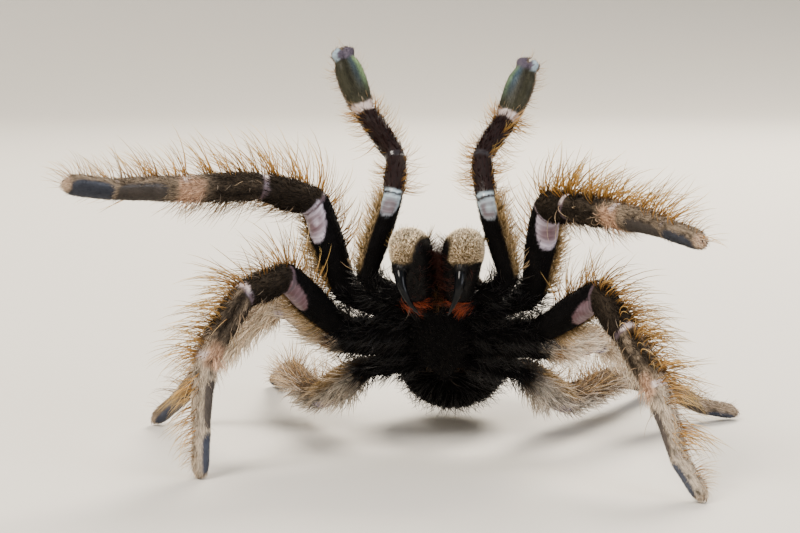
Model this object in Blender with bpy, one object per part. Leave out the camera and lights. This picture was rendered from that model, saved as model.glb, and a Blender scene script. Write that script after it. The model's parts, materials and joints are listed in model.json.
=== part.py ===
"""A life-size tarantula rearing in its threat posture, as solids parted by thin gaps.

The spider faces -Y and stands on the floor at Z = 0 on its six hind feet. The front half of the body
is tipped up, and the palps and the first pair of legs are raised. The body tables are in millimetres
in the body's own directions: forward from the middle of the sternum, outward from the middle plane,
and dorsal, towards the back. Angles are in degrees.
"""

import math

import bmesh
import bpy
from mathutils import Vector

MM = 0.001
GAP = 0.3

# Moves the spider so that the origin lies on the floor in the middle of its span.
BODY_PLACE = Vector((2.2, -10.8, 0.0))

# Front body: how far it is tipped up, and where the mouth stands over the floor.
BODY_PITCH = 50.0
MOUTH_HEIGHT = 22.0
MOUTH_FORWARD = 6.5
FORWARD = Vector((0.0, -math.cos(math.radians(BODY_PITCH)), math.sin(math.radians(BODY_PITCH))))
DORSAL = Vector((0.0, math.sin(math.radians(BODY_PITCH)), math.cos(math.radians(BODY_PITCH))))
STERNUM_CENTRE = BODY_PLACE + Vector((0.0, 0.0, MOUTH_HEIGHT)) - FORWARD * MOUTH_FORWARD

CARAPACE_LENGTH = 20.0
CARAPACE_WIDTH = 17.4
CARAPACE_HEIGHT = 5.2
CARAPACE_UNDERSIDE = 3.8
CARAPACE_CENTRE = -0.3
CARAPACE_RIM = 0.6
CORE_TOP = CARAPACE_UNDERSIDE - GAP

EYE_TUBERCLE_FORWARD = 7.6
EYE_GAP = 0.3

ABDOMEN_LENGTH = 24.5
ABDOMEN_WIDTH = 17.2
ABDOMEN_HEIGHT = 14.8
ABDOMEN_FRONT = BODY_PLACE + Vector((0.0, 15.2, 9.8))
ABDOMEN_DROOP = 0.5

PEDICEL_RADIUS = 1.4
PEDICEL_DORSAL = 1.4
SPINNERET_LENGTH = 5.2
SPINNERET_RADIUS = 0.85

# A standing foot is sunk this far below the floor and cut level with it, which leaves a small flat pad.
PAD_SINK = 0.25
# Each joint is this much slimmer than the lengths on its two sides.
WAIST = 0.9
# Share of the last length over which a foot is rounded off, and the cleft between its two claw tufts.
TIP_SHARE = 0.2
TIP_CLEFT = 0.55
# A coxa is this much slimmer where it leaves the sternum.
ROOT_TAPER = 0.86
TROCHANTER_LENGTH = 2.5
LIMB_SIDES = 10

# Half widths and half heights of a leg's lengths out to the tips of its short coat.
LEG_GIRTH = {
    "coxa": (2.0, 1.95),
    "trochanter": (2.2, 2.1),
    "femur": (2.65, 2.7),
    "patella": (2.45, 2.45),
    "tibia": (2.3, 2.25),
    "metatarsus": (2.05, 1.95),
    "tarsus": (1.85, 1.6),
}
PALP_GIRTH = {
    "coxa": (1.7, 1.75),
    "trochanter": (1.8, 1.8),
    "femur": (2.0, 2.05),
    "patella": (1.9, 1.85),
    "tibia": (1.9, 1.8),
    "tarsus": (2.3, 1.55),
}
GIRTH_SCALE = {"palp": 1.0, "leg_1": 1.0, "leg_2": 0.96, "leg_3": 0.92, "leg_4": 0.94}

# Lengths from the hip outwards: femur, patella, tibia, metatarsus and tarsus. A palp has no metatarsus.
LENGTHS = {
    "palp": (14.0, 7.0, 9.2, 9.5),
    "leg_1": (15.5, 8.5, 12.0, 10.5, 7.8),
    "leg_2": (14.5, 8.0, 10.8, 10.0, 7.3),
    "leg_3": (13.0, 7.0, 9.0, 10.5, 7.0),
    "leg_4": (15.0, 8.0, 11.5, 12.5, 7.5),
}
# Where each coxa leaves the sternum and where it ends at the hip: forward, outward, dorsal.
COXA_ROOT = {
    "palp": (7.4, 3.5, 1.2),
    "leg_1": (4.1, 4.6, 1.2),
    "leg_2": (0.7, 4.9, 1.0),
    "leg_3": (-2.8, 4.8, 1.1),
    "leg_4": (-6.4, 3.9, 1.2),
}
HIP = {
    "palp": (9.2, 8.9, 1.2),
    "leg_1": (6.2, 12.1, 2.0),
    "leg_2": (1.7, 13.1, 0.0),
    "leg_3": (-3.1, 12.8, 1.0),
    "leg_4": (-8.2, 10.8, 1.2),
}
# Pose: for each length, degrees forward of straight outwards, and degrees above level.
# A standing tarsus gives None, because its slope follows from the height of the joint above it.
POSE = {
    ("palp", "right"): ((148, 77), (-90, 46), (-20, 52), (-28, 66)),
    ("palp", "left"): ((120, 75), (-103, 50), (-61, 38), (-44, 63)),
    ("leg_1", "right"): ((28, 66), (32, 18), (35, 1), (36, 1), (36, 9)),
    ("leg_1", "left"): ((56, 65), (66, 5), (56, 0), (53, -6), (54, -7)),
    ("leg_2", "right"): ((46, 36), (50, -12), (50, -49), (33, -87), (30, None)),
    ("leg_2", "left"): ((39, 27), (51, -37), (62, -34), (50, -64), (51, None)),
    ("leg_3", "right"): ((-3, 29), (-28, -32), (-36, -38), (-31, -46), (-20, None)),
    ("leg_3", "left"): ((-40, 0), (-46, -18), (-48, -44), (-42, -25), (-30, None)),
    ("leg_4", "right"): ((-48, -26), (-62, 4), (-70, 2), (-74, -16), (-75, None)),
    ("leg_4", "left"): ((-60, -27), (-64, 4), (-67, 2), (-69, -16), (-70, None)),
}
# The way the dorsal side faces, outwards, back and up, for the femur and for the lengths past the knee.
DORSAL_SIDE = {
    "palp": ((0.0, 1.0, 0.2), (0.0, 1.0, -0.2)),
    "leg_1": ((-0.4, 0.9, 0.0), (0.0, 0.8, 0.6)),
    "leg_2": ((0.0, 0.5, 0.85), (0.5, 0.2, 0.85)),
    "leg_3": ((0.0, 0.1, 1.0), (0.4, 0.2, 0.9)),
    "leg_4": ((0.0, 0.0, 1.0), (0.1, 0.1, 1.0)),
}

# Chelicerae: stations along each, as forward, half width and half height.
CHELICERA_STATIONS = (
    (10.1, 2.6, 3.0),
    (12.0, 2.9, 3.5),
    (14.4, 3.1, 3.85),
    (16.7, 3.05, 3.7),
    (18.5, 2.7, 3.05),
    (19.6, 1.95, 2.15),
    (20.2, 0.95, 1.0),
)
CHELICERA_BASE_OUT = 3.1
CHELICERA_TIP_OUT = {"right": 3.8, "left": 4.5}
CHELICERA_MID_DORSAL = 1.8
CHELICERA_ARCH = 0.9
CHELICERA_SIDES = 12

# Fangs: root, bend and tip as forward, outward, dorsal.
FANG_ROOT = {"right": (16.3, 4.7, -1.95), "left": (16.3, 3.9, -1.95)}
FANG_BEND = {"right": (15.9, 4.6, -5.9), "left": (15.9, 4.1, -5.9)}
FANG_TIP = {"right": (11.2, 1.9, -5.6), "left": (11.2, 2.0, -5.6)}
FANG_ROOT_RADIUS = 0.95
FANG_TIP_RADIUS = 0.15
FANG_RINGS = 8
FANG_SIDES = 8

# Sternum, lip and the body core above them: forward, half width, ventral level.
CORE_STATIONS = (
    (-10.1, 1.4, 0.6),
    (-7.8, 1.9, -0.4),
    (-6.0, 3.2, -1.0),
    (-3.0, 4.1, -1.35),
    (0.0, 4.35, -1.5),
    (3.0, 3.9, -1.4),
    (5.0, 2.5, -1.2),
    (6.8, 2.0, -1.3),
    (7.6, 1.7, 0.2),
    (9.6, 1.6, 0.8),
)

# Eyes on the tubercle: outward, forward of the tubercle's middle, radius.
EYES = {
    "front_middle": (0.55, 0.35, 0.36),
    "front_side": (1.35, 0.75, 0.34),
    "rear_middle": (0.8, -0.5, 0.22),
    "rear_side": (1.6, -0.3, 0.3),
}

FINISHES = {
    "coat": ((0.030, 0.021, 0.016), 0.75),
    "coat_dark": ((0.008, 0.007, 0.007), 0.85),
    "coat_golden": ((0.42, 0.30, 0.17), 0.8),
    "fang": ((0.008, 0.007, 0.008), 0.18),
    "eye": ((0.01, 0.009, 0.009), 0.08),
}


def clear_scene():
    for old in list(bpy.data.objects):
        bpy.data.objects.remove(old, do_unlink=True)


def make_finish(name):
    colour, roughness = FINISHES[name]
    finish = bpy.data.materials.new(name)
    finish.use_nodes = True
    shader = finish.node_tree.nodes["Principled BSDF"]
    shader.inputs["Base Color"].default_value = (*colour, 1.0)
    shader.inputs["Roughness"].default_value = roughness
    shader.inputs["Metallic"].default_value = 0.0
    return finish


def body_point(forward, across, dorsal):
    """A point of the front body in millimetres; across is the spider's left."""
    return STERNUM_CENTRE + FORWARD * forward + Vector((across, 0.0, 0.0)) + DORSAL * dorsal


def side_sign(side):
    """The spider faces -Y, so its left side is +X."""
    return 1.0 if side == "left" else -1.0


def heading(side, forward_angle, rise_angle):
    forward_turn = math.radians(forward_angle)
    rise = math.radians(rise_angle)
    level = math.cos(rise)
    across = side_sign(side) * math.cos(forward_turn) * level
    return Vector((across, -math.sin(forward_turn) * level, math.sin(rise)))


def blend(start, end, share):
    return start + (end - start) * share


def swell(start, middle, end, share):
    """A radius that runs from start to end and swells to the middle value half way."""
    straight = blend(start, end, share)
    return straight + (middle - 0.5 * (start + end)) * math.sin(math.pi * share) ** 0.75


def skin_rings(rings):
    """A closed body through a list of rings of points, capped at both ends."""
    body = bmesh.new()
    corners = [[body.verts.new(point * MM) for point in ring] for ring in rings]
    sides = len(corners[0])
    for near, far in zip(corners, corners[1:]):
        for index in range(sides):
            following = (index + 1) % sides
            body.faces.new((near[index], near[following], far[following], far[index]))
    body.faces.new(corners[0])
    body.faces.new(corners[-1])
    bmesh.ops.recalc_face_normals(body, faces=body.faces[:])
    return body


def cut_at_floor(body):
    """Cuts the body level with the floor and closes the flat pad that this leaves."""
    everything = body.verts[:] + body.edges[:] + body.faces[:]
    bmesh.ops.bisect_plane(body, geom=everything, plane_co=(0, 0, 0), plane_no=(0, 0, -1), clear_outer=True)
    rim = [edge for edge in body.edges if edge.is_boundary]
    bmesh.ops.holes_fill(body, edges=rim, sides=0)
    bmesh.ops.recalc_face_normals(body, faces=body.faces[:])


def add_node(name, body, finish):
    mesh = bpy.data.meshes.new(name)
    body.to_mesh(mesh)
    body.free()
    mesh.materials.append(finish)
    mesh.shade_smooth()
    mesh.set_sharp_from_angle(angle=math.radians(50))
    node = bpy.data.objects.new(name, mesh)
    bpy.context.scene.collection.objects.link(node)
    return node


def limb_parts(kind):
    if kind == "palp":
        return ("femur", "patella", "tibia", "tarsus")
    return ("femur", "patella", "tibia", "metatarsus", "tarsus")


def standing_rise(height, length, half_height):
    """The slope of a foot that starts at a height over the floor and sinks into it by the pad's depth."""
    rounding = TIP_SHARE * length
    slope = math.radians(30.0)
    for _ in range(20):
        reach = math.hypot(rounding * math.sin(slope), half_height * math.cos(slope))
        tip_height = reach - rounding * math.sin(slope) - PAD_SINK
        slope = math.asin(min(max((height - tip_height) / length, 0.0), 1.0))
    return -math.degrees(slope)


def limb_line(kind, side):
    """The joints of a limb from the coxa's root to the tip of the foot."""
    sign = side_sign(side)
    root = body_point(COXA_ROOT[kind][0], sign * COXA_ROOT[kind][1], COXA_ROOT[kind][2])
    hip = body_point(HIP[kind][0], sign * HIP[kind][1], HIP[kind][2])
    joints = [root, hip]
    end = hip
    for length, (forward_angle, rise_angle) in zip(LENGTHS[kind], POSE[kind, side]):
        if rise_angle is None:
            rise_angle = standing_rise(end.z, length, LEG_GIRTH["tarsus"][1] * GIRTH_SCALE[kind])
        end = end + heading(side, forward_angle, rise_angle) * length
        joints.append(end)
    turn = (hip - root).normalized() + (joints[2] - hip).normalized()
    joints.insert(2, hip + turn.normalized() * TROCHANTER_LENGTH)
    return joints


def limb_lengths(kind, side):
    """The lengths of a limb, each with its ends, its directions and its half widths and heights."""
    girth = PALP_GIRTH if kind == "palp" else LEG_GIRTH
    scale = GIRTH_SCALE[kind]
    sign = side_sign(side)
    names = ("coxa", "trochanter") + limb_parts(kind)
    joints = limb_line(kind, side)
    near_dorsal, far_dorsal = (Vector((sign * x, y, z)) for x, y, z in DORSAL_SIDE[kind])
    dorsals = {"coxa": DORSAL.copy(), "trochanter": near_dorsal, "femur": near_dorsal, "patella": far_dorsal}
    lengths = []
    dorsal = None
    for name, start, end in zip(names, joints, joints[1:]):
        axis = (end - start).normalized()
        wanted = dorsals.get(name, dorsal)
        dorsal = (wanted - axis * wanted.dot(axis)).normalized()
        size = (girth[name][0] * scale, girth[name][1] * scale)
        lengths.append(
            {
                "name": name,
                "start": start,
                "end": end,
                "axis": axis,
                "dorsal": dorsal,
                "across": axis.cross(dorsal),
                "size": size,
            }
        )
    return lengths


def joint_size(near, far):
    return tuple(WAIST * 0.5 * (near["size"][index] + far["size"][index]) for index in (0, 1))


def mitre(near, far):
    return (near["axis"] + far["axis"]).normalized()


def tip_scale(share):
    """How far a foot is rounded off at this share of its length."""
    if share <= 1.0 - TIP_SHARE:
        return 1.0
    return math.sqrt(max(1.0 - ((share - 1.0 + TIP_SHARE) / TIP_SHARE) ** 2, 0.0))


def length_rings(length, shares, start_plane, end_plane, start_size, end_size, is_tip):
    """Rings along one length, which turn smoothly from the plane at its start to the one at its end."""
    rings = []
    for share in shares:
        rounding = tip_scale(share) if is_tip else 1.0
        half = [swell(start_size[i], length["size"][i], end_size[i], share) * rounding for i in (0, 1)]
        ring = []
        for index in range(LIMB_SIDES):
            turn = 2.0 * math.pi * (index + 0.5) / LIMB_SIDES
            off = length["across"] * (half[0] * math.cos(turn))
            off = off + length["dorsal"] * (half[1] * math.sin(turn))
            begin = length["start"] + off
            ends = []
            for point, normal in (start_plane, end_plane):
                ends.append((point - begin).dot(normal) / length["axis"].dot(normal))
            along = blend(ends[0], ends[1], share)
            if is_tip and share > 1.0 - TIP_SHARE:
                depth = (share - 1.0 + TIP_SHARE) / TIP_SHARE
                along -= TIP_CLEFT * depth * depth * (1.0 - abs(math.cos(turn)))
            ring.append(begin + length["axis"] * along)
        rings.append(ring)
    return rings


SHARES = {
    "coxa": (0.0, 0.5, 1.0),
    "trochanter": (0.0, 1.0),
    "femur": (0.0, 0.15, 0.38, 0.65, 0.88, 1.0),
    "patella": (0.0, 0.3, 0.7, 1.0),
    "tibia": (0.0, 0.2, 0.5, 0.8, 1.0),
    "metatarsus": (0.0, 0.2, 0.5, 0.8, 1.0),
    "tarsus": (0.0, 0.3, 0.6, 0.8, 0.9, 0.96, 0.99),
}
# Which lengths of a limb are one node.
LIMB_NODES = {
    "coxa_femur": ("coxa", "trochanter", "femur"),
    "patella": ("patella",),
    "tibia": ("tibia",),
    "foot": ("metatarsus", "tarsus"),
    "tarsus": ("tarsus",),
}


def make_limb(kind, side, finish):
    lengths = limb_lengths(kind, side)
    by_name = {length["name"]: length for length in lengths}
    order = [length["name"] for length in lengths]
    wanted = ("coxa_femur", "patella", "tibia", "tarsus" if kind == "palp" else "foot")
    for node_name in wanted:
        members = LIMB_NODES[node_name]
        rings = []
        for name in members:
            length = by_name[name]
            place = order.index(name)
            start_plane = (length["start"], length["axis"])
            end_plane = (length["end"], length["axis"])
            start_size = tuple(half * ROOT_TAPER for half in length["size"])
            end_size = length["size"]
            if place > 0:
                near = lengths[place - 1]
                normal = mitre(near, length)
                clear = 0.0 if near["name"] in members else 0.5 * GAP
                start_plane = (length["start"] + normal * clear, normal)
                start_size = joint_size(near, length)
            if place < len(lengths) - 1:
                far = lengths[place + 1]
                normal = mitre(length, far)
                clear = 0.0 if far["name"] in members else 0.5 * GAP
                end_plane = (length["end"] - normal * clear, normal)
                end_size = joint_size(length, far)
            shares = SHARES[name] if name == members[0] else SHARES[name][1:]
            is_tip = name == "tarsus"
            rings += length_rings(length, shares, start_plane, end_plane, start_size, end_size, is_tip)
        body = skin_rings(rings)
        if min(vert.co.z for vert in body.verts) < 0.0:
            cut_at_floor(body)
        add_node(f"{side}_{kind}_{node_name}", body, finish)


def carapace_edge(turn):
    """The margin seen from above: widest behind the middle, with a blunt front."""
    along = 0.5 * CARAPACE_LENGTH * math.cos(turn) * (1.0 - 0.04 * math.cos(turn))
    blunt = abs(math.sin(turn)) ** (1.0 - 0.4 * max(math.cos(turn), 0.0))
    taper = 1.0 - 0.13 * math.cos(turn) - 0.09 * math.cos(2.0 * turn)
    return along, 0.5 * CARAPACE_WIDTH * math.copysign(blunt, math.sin(turn)) * taper / 1.09


def carapace_lift(forward, across):
    """Height of the shell over its margin: a raised head in front, lower and rounder behind."""
    along, wide = (forward - CARAPACE_CENTRE) / (0.5 * CARAPACE_LENGTH), across / (0.5 * CARAPACE_WIDTH)
    dome = max(1.0 - along * along * 0.98 - wide * wide, 0.0) ** 0.42
    head = 0.16 * math.exp(-(((along - 0.5) / 0.35) ** 2 + (wide / 0.4) ** 2))
    return CARAPACE_HEIGHT * (0.86 * dome + head)


def make_carapace(finish):
    sides = 28
    rings = []
    for scale in (1.0, 0.96, 0.86, 0.72, 0.54, 0.34, 0.12):
        ring = []
        for index in range(sides):
            along, across = carapace_edge(2.0 * math.pi * index / sides)
            forward = CARAPACE_CENTRE + along * scale
            height = CARAPACE_RIM if scale == 1.0 else CARAPACE_RIM + carapace_lift(forward, across * scale)
            ring.append(body_point(forward, across * scale, CARAPACE_UNDERSIDE + height))
        rings.append(ring)
    under = []
    for index in range(sides):
        along, across = carapace_edge(2.0 * math.pi * index / sides)
        under.append(body_point(CARAPACE_CENTRE + along * 0.99, across * 0.99, CARAPACE_UNDERSIDE))
    add_node("carapace", skin_rings([under] + rings), finish)


def make_eyes(finish):
    for side in ("right", "left"):
        for name, (out, forward, radius) in EYES.items():
            place = EYE_TUBERCLE_FORWARD + forward
            lift = CARAPACE_UNDERSIDE + CARAPACE_RIM + carapace_lift(place, out)
            centre = body_point(place, side_sign(side) * out, lift + radius + EYE_GAP)
            body = bmesh.new()
            bmesh.ops.create_icosphere(body, subdivisions=1, radius=radius * MM)
            bmesh.ops.translate(body, verts=body.verts[:], vec=centre * MM)
            add_node(f"{side}_eye_{name}", body, finish)


def make_core(finish):
    """The sternum with its lip, and the flesh between the coxae up to the carapace."""
    rings = []
    for forward, half, level in CORE_STATIONS:
        section = (
            (half, CORE_TOP),
            (half, 0.5 * (CORE_TOP + level)),
            (half * 0.9, level + 0.45),
            (half * 0.5, level + 0.08),
            (-half * 0.5, level + 0.08),
            (-half * 0.9, level + 0.45),
            (-half, 0.5 * (CORE_TOP + level)),
            (-half, CORE_TOP),
        )
        rings.append([body_point(forward, across, dorsal) for across, dorsal in section])
    add_node("sternum", skin_rings(rings), finish)


def chelicera_line(side, forward):
    first = CHELICERA_STATIONS[0][0]
    last = CHELICERA_STATIONS[-1][0]
    share = (forward - first) / (last - first)
    out = blend(CHELICERA_BASE_OUT, CHELICERA_TIP_OUT[side], share)
    dorsal = CHELICERA_MID_DORSAL + CHELICERA_ARCH * math.sin(math.pi * min(share * 1.15, 1.0)) - 0.5 * share
    return side_sign(side) * out, dorsal


def make_chelicera(side, finish):
    rings = []
    for forward, half_width, half_height in CHELICERA_STATIONS:
        across, dorsal = chelicera_line(side, forward)
        ring = []
        for index in range(CHELICERA_SIDES):
            turn = 2.0 * math.pi * (index + 0.5) / CHELICERA_SIDES
            wide = across + half_width * math.cos(turn)
            ring.append(body_point(forward, wide, dorsal + half_height * math.sin(turn)))
        rings.append(ring)
    add_node(f"{side}_chelicera", skin_rings(rings), finish)


def make_fang(side, finish):
    """A hook along a curve with one bend, thick at the root and pointed at the tip."""
    sign = side_sign(side)
    places = (FANG_ROOT[side], FANG_BEND[side], FANG_TIP[side])
    root, bend, tip = (body_point(place[0], sign * place[1], place[2]) for place in places)
    rings = []
    for step in range(FANG_RINGS):
        share = step / (FANG_RINGS - 1)
        centre = blend(blend(root, bend, share), blend(bend, tip, share), share)
        axis = blend(bend - root, tip - bend, share).normalized()
        wide = axis.cross(FORWARD).normalized()
        deep = axis.cross(wide)
        radius = blend(FANG_ROOT_RADIUS, FANG_TIP_RADIUS, share**1.15)
        ring = []
        for index in range(FANG_SIDES):
            turn = 2.0 * math.pi * index / FANG_SIDES
            ring.append(centre + wide * (radius * math.cos(turn)) + deep * (radius * math.sin(turn)))
        rings.append(ring)
    add_node(f"{side}_fang", skin_rings(rings), finish)


def abdomen_line(share):
    """The middle line of the abdomen, front to back, which droops a little."""
    return ABDOMEN_FRONT + Vector((0.0, ABDOMEN_LENGTH * share, -ABDOMEN_DROOP * share * share))


def abdomen_girth(share):
    """An egg: narrow at the waist, widest past the middle, round behind."""
    skewed = share**1.12
    return (4.0 * skewed * (1.0 - skewed)) ** 0.47


def make_abdomen(finish):
    sides = 18
    shares = (0.004, 0.03, 0.09, 0.18, 0.3, 0.43, 0.56, 0.69, 0.8, 0.89, 0.955, 0.985, 0.997)
    rings = []
    for share in shares:
        girth = abdomen_girth(share)
        ring = []
        for index in range(sides):
            turn = 2.0 * math.pi * (index + 0.5) / sides
            across = 0.5 * ABDOMEN_WIDTH * girth * math.cos(turn)
            lift = 0.5 * ABDOMEN_HEIGHT * girth * math.sin(turn)
            ring.append(abdomen_line(share) + Vector((across, 0.0, lift)))
        rings.append(ring)
    add_node("abdomen", skin_rings(rings), finish)


def rod_rings(start, end, radii, sides, start_axis=None, end_axis=None):
    """Rings along a short rod, which may leave and arrive along axes of its own."""
    straight = (end - start).normalized()
    rings = []
    for share, radius in radii:
        centre = blend(start, end, share)
        axis = blend(start_axis or straight, end_axis or straight, share).normalized()
        wide = axis.cross(Vector((0.0, 0.0, 1.0))).normalized()
        deep = wide.cross(axis)
        turns = [2.0 * math.pi * index / sides for index in range(sides)]
        rings.append([centre + (wide * math.cos(turn) + deep * math.sin(turn)) * radius for turn in turns])
    return rings


def make_pedicel(finish):
    start = body_point(CORE_STATIONS[0][0] - GAP, 0.0, PEDICEL_DORSAL)
    end = abdomen_line(0.0) + Vector((0.0, -GAP, 0.0))
    radii = ((0.0, PEDICEL_RADIUS * 0.85), (0.5, PEDICEL_RADIUS), (1.0, PEDICEL_RADIUS * 0.85))
    rings = rod_rings(start, end, radii, 10, -FORWARD, Vector((0.0, 1.0, 0.0)))
    add_node("pedicel", skin_rings(rings), finish)


def make_spinneret(side, finish):
    sign = side_sign(side)
    base = abdomen_line(1.0) + Vector((sign * 1.3, 0.4, -0.8))
    tip = base + Vector((sign * 1.2, SPINNERET_LENGTH, 0.9))
    radii = ((0.0, SPINNERET_RADIUS), (0.35, SPINNERET_RADIUS), (0.7, 0.65), (0.92, 0.45), (1.0, 0.26))
    add_node(f"{side}_spinneret", skin_rings(rod_rings(base, tip, radii, 8)), finish)


def main():
    clear_scene()
    finishes = {name: make_finish(name) for name in FINISHES}
    make_carapace(finishes["coat"])
    make_core(finishes["coat_dark"])
    make_pedicel(finishes["coat"])
    make_abdomen(finishes["coat"])
    make_eyes(finishes["eye"])
    for side in ("right", "left"):
        make_chelicera(side, finishes["coat_golden"])
        make_fang(side, finishes["fang"])
        make_spinneret(side, finishes["coat"])
        for kind in LENGTHS:
            make_limb(kind, side, finishes["coat"])


main()
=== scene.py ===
"""A rearing tarantula, life size: one skin under a coat of solid hairs, with eyes, fangs and claws.

Tables are in millimetres in the spider's own directions, as forward, outward and dorsal, and its pose is in
degrees. Meshes are in metres. The spider faces -Y, its left is +X, and it stands on the floor at Z = 0.
"""

import collections
import functools
import itertools
import json
import math
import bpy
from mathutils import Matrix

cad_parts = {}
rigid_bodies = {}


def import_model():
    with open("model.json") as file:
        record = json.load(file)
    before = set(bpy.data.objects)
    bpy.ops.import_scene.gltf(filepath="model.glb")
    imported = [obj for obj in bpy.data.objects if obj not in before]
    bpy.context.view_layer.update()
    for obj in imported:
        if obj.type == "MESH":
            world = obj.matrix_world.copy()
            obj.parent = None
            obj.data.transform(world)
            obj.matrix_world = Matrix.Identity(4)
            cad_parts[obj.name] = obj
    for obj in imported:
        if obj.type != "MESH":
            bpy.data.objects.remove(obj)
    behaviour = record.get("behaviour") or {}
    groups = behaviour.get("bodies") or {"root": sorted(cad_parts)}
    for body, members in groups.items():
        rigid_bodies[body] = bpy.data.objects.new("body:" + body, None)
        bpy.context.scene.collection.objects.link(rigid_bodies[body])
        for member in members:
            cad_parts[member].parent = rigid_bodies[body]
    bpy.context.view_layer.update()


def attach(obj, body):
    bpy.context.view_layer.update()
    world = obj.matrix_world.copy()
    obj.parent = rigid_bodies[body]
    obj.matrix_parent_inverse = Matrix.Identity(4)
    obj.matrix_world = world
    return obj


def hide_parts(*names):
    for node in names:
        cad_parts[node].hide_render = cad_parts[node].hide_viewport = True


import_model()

import types

import bpy
import numpy as np
from mathutils import Vector
from mathutils.kdtree import KDTree

bl_info = {
    "name": "Rearing tarantula",
    "version": (1, 0, 0),
    "blender": (4, 5, 0),
    "location": "3D View > Sidebar > Tarantula",
    "description": "Dresses the spider's solids in skin and hair, and lights them in a plain studio",
    "category": "Add Mesh",
}

MM = 0.001
TAU = 2.0 * math.pi
BODY = "root"
# The sides, and the sign of outwards on each.
SIDES = {"right": -1.0, "left": 1.0}


def vec(*values):
    return np.array(values, dtype=float)


# The front body's place and its tilt, and the spider's own directions.
BODY_PLACE = vec(2.2, -10.8, 0.0)
BODY_PITCH = math.radians(50.0)
MOUTH_HEIGHT = 22.0
MOUTH_FORWARD = 6.5
LEFT = vec(1.0, 0.0, 0.0)
UP = vec(0.0, 0.0, 1.0)
BACK = vec(0.0, 1.0, 0.0)
FORWARD = vec(0.0, -math.cos(BODY_PITCH), math.sin(BODY_PITCH))
DORSAL = vec(0.0, math.sin(BODY_PITCH), math.cos(BODY_PITCH))
STERNUM_CENTRE = BODY_PLACE + UP * MOUTH_HEIGHT - FORWARD * MOUTH_FORWARD

CARAPACE_LENGTH = 20.0
CARAPACE_WIDTH = 17.4
CARAPACE_HEIGHT = 5.2
CARAPACE_UNDERSIDE = 3.8
CARAPACE_CENTRE = -0.3
CARAPACE_MARGIN = 4.06
SHELL_ROUND = 1.1 * CARAPACE_WIDTH
CORE_TOP = 3.5
CORE_SUNK = 0.6
EYE_TUBERCLE_FORWARD = 7.6

ABDOMEN_LENGTH = 24.5
ABDOMEN_WIDTH = 17.2
ABDOMEN_HEIGHT = 14.8
ABDOMEN_FRONT = BODY_PLACE + vec(0.0, 15.2, 9.8)
ABDOMEN_DROOP = 0.5
PEDICEL_DORSAL = 1.4
PEDICEL_RADIUS = 1.4
SPINNERET_BASE = vec(1.3, 0.4, -0.8)
SPINNERET_REACH = vec(1.2, 5.2, 0.9)
SPINNERET_RADIUS = 0.85

# How a limb is drawn: pad depth of a standing foot, waists at joints, rounded and cleft tips, flat soles, and
# slim roots that start inside the sternum.
PAD_SINK = 0.25
WAIST = 0.9
TIP_SHARE = 0.2
TIP_ROUNDNESS = 2.4
TIP_CLEFT = 0.9
PALP_CLEFT = 2.34
SOLE_FLATTENING = 0.22
FLAT_FROM = {"metatarsus": (0.25, 0.5), "tarsus": (0.0, 0.2)}
ROOT_TAPER = 0.86
ROOT_DEPTH = 2.2
TROCHANTER_LENGTH = 2.5
# Share along a palp's foot and its girth there: a slim heel, a broad palm, and a waist before its two lobes.
PALP_FOOT = ((0.0, 0.1, 0.4, 0.62, 0.76, 0.8, 0.88, 1.0), (1.12, 1.04, 1.04, 0.95, 0.72, 0.74, 1.12, 1.3))

PARTS = ("coxa", "trochanter", "femur", "patella", "tibia", "metatarsus", "tarsus")
# Half widths and half heights of each length of a leg and of a palp, out to the tips of the short coat.
LEG_GIRTH = {
    "coxa": (2.0, 1.95),
    "trochanter": (2.2, 2.1),
    "femur": (2.65, 2.7),
    "patella": (2.45, 2.45),
    "tibia": (2.3, 2.25),
    "metatarsus": (2.05, 1.95),
    "tarsus": (1.85, 1.6),
}
PALP_GIRTH = {
    "coxa": (1.7, 1.75),
    "trochanter": (1.8, 1.8),
    "femur": (2.0, 2.05),
    "patella": (1.9, 1.85),
    "tibia": (1.9, 1.8),
    "tarsus": (2.3, 1.55),
}
GIRTH_SCALE = {"palp": 1.0, "leg_1": 1.0, "leg_2": 0.96, "leg_3": 0.92, "leg_4": 0.94}
# Depth of the short coat over the skin on each length, and on the body.
COAT_DEPTH = {
    "coxa": 0.3,
    "trochanter": 0.3,
    "femur": 0.4,
    "patella": 0.35,
    "tibia": 0.4,
    "metatarsus": 0.3,
    "tarsus": 0.2,
}
CORE_COAT = 0.25
CHELICERA_COAT = 0.22
ABDOMEN_COAT = 0.55
LIMBS = ("palp", "leg_1", "leg_2", "leg_3", "leg_4")
LENGTHS = {
    "palp": (14.0, 7.0, 9.2, 9.5),
    "leg_1": (15.5, 8.5, 12.0, 10.5, 7.8),
    "leg_2": (14.5, 8.0, 10.8, 10.0, 7.3),
    "leg_3": (13.0, 7.0, 9.0, 10.5, 7.0),
    "leg_4": (15.0, 8.0, 11.5, 12.5, 7.5),
}
COXA_ROOT = {
    "palp": (7.4, 3.5, 1.2),
    "leg_1": (4.1, 4.6, 1.2),
    "leg_2": (0.7, 4.9, 1.0),
    "leg_3": (-2.8, 4.8, 1.1),
    "leg_4": (-6.4, 3.9, 1.2),
}
HIP = {
    "palp": (9.2, 8.9, 1.2),
    "leg_1": (6.2, 12.1, 2.0),
    "leg_2": (1.7, 13.1, 0.0),
    "leg_3": (-3.1, 12.8, 1.0),
    "leg_4": (-8.2, 10.8, 1.2),
}
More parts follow.
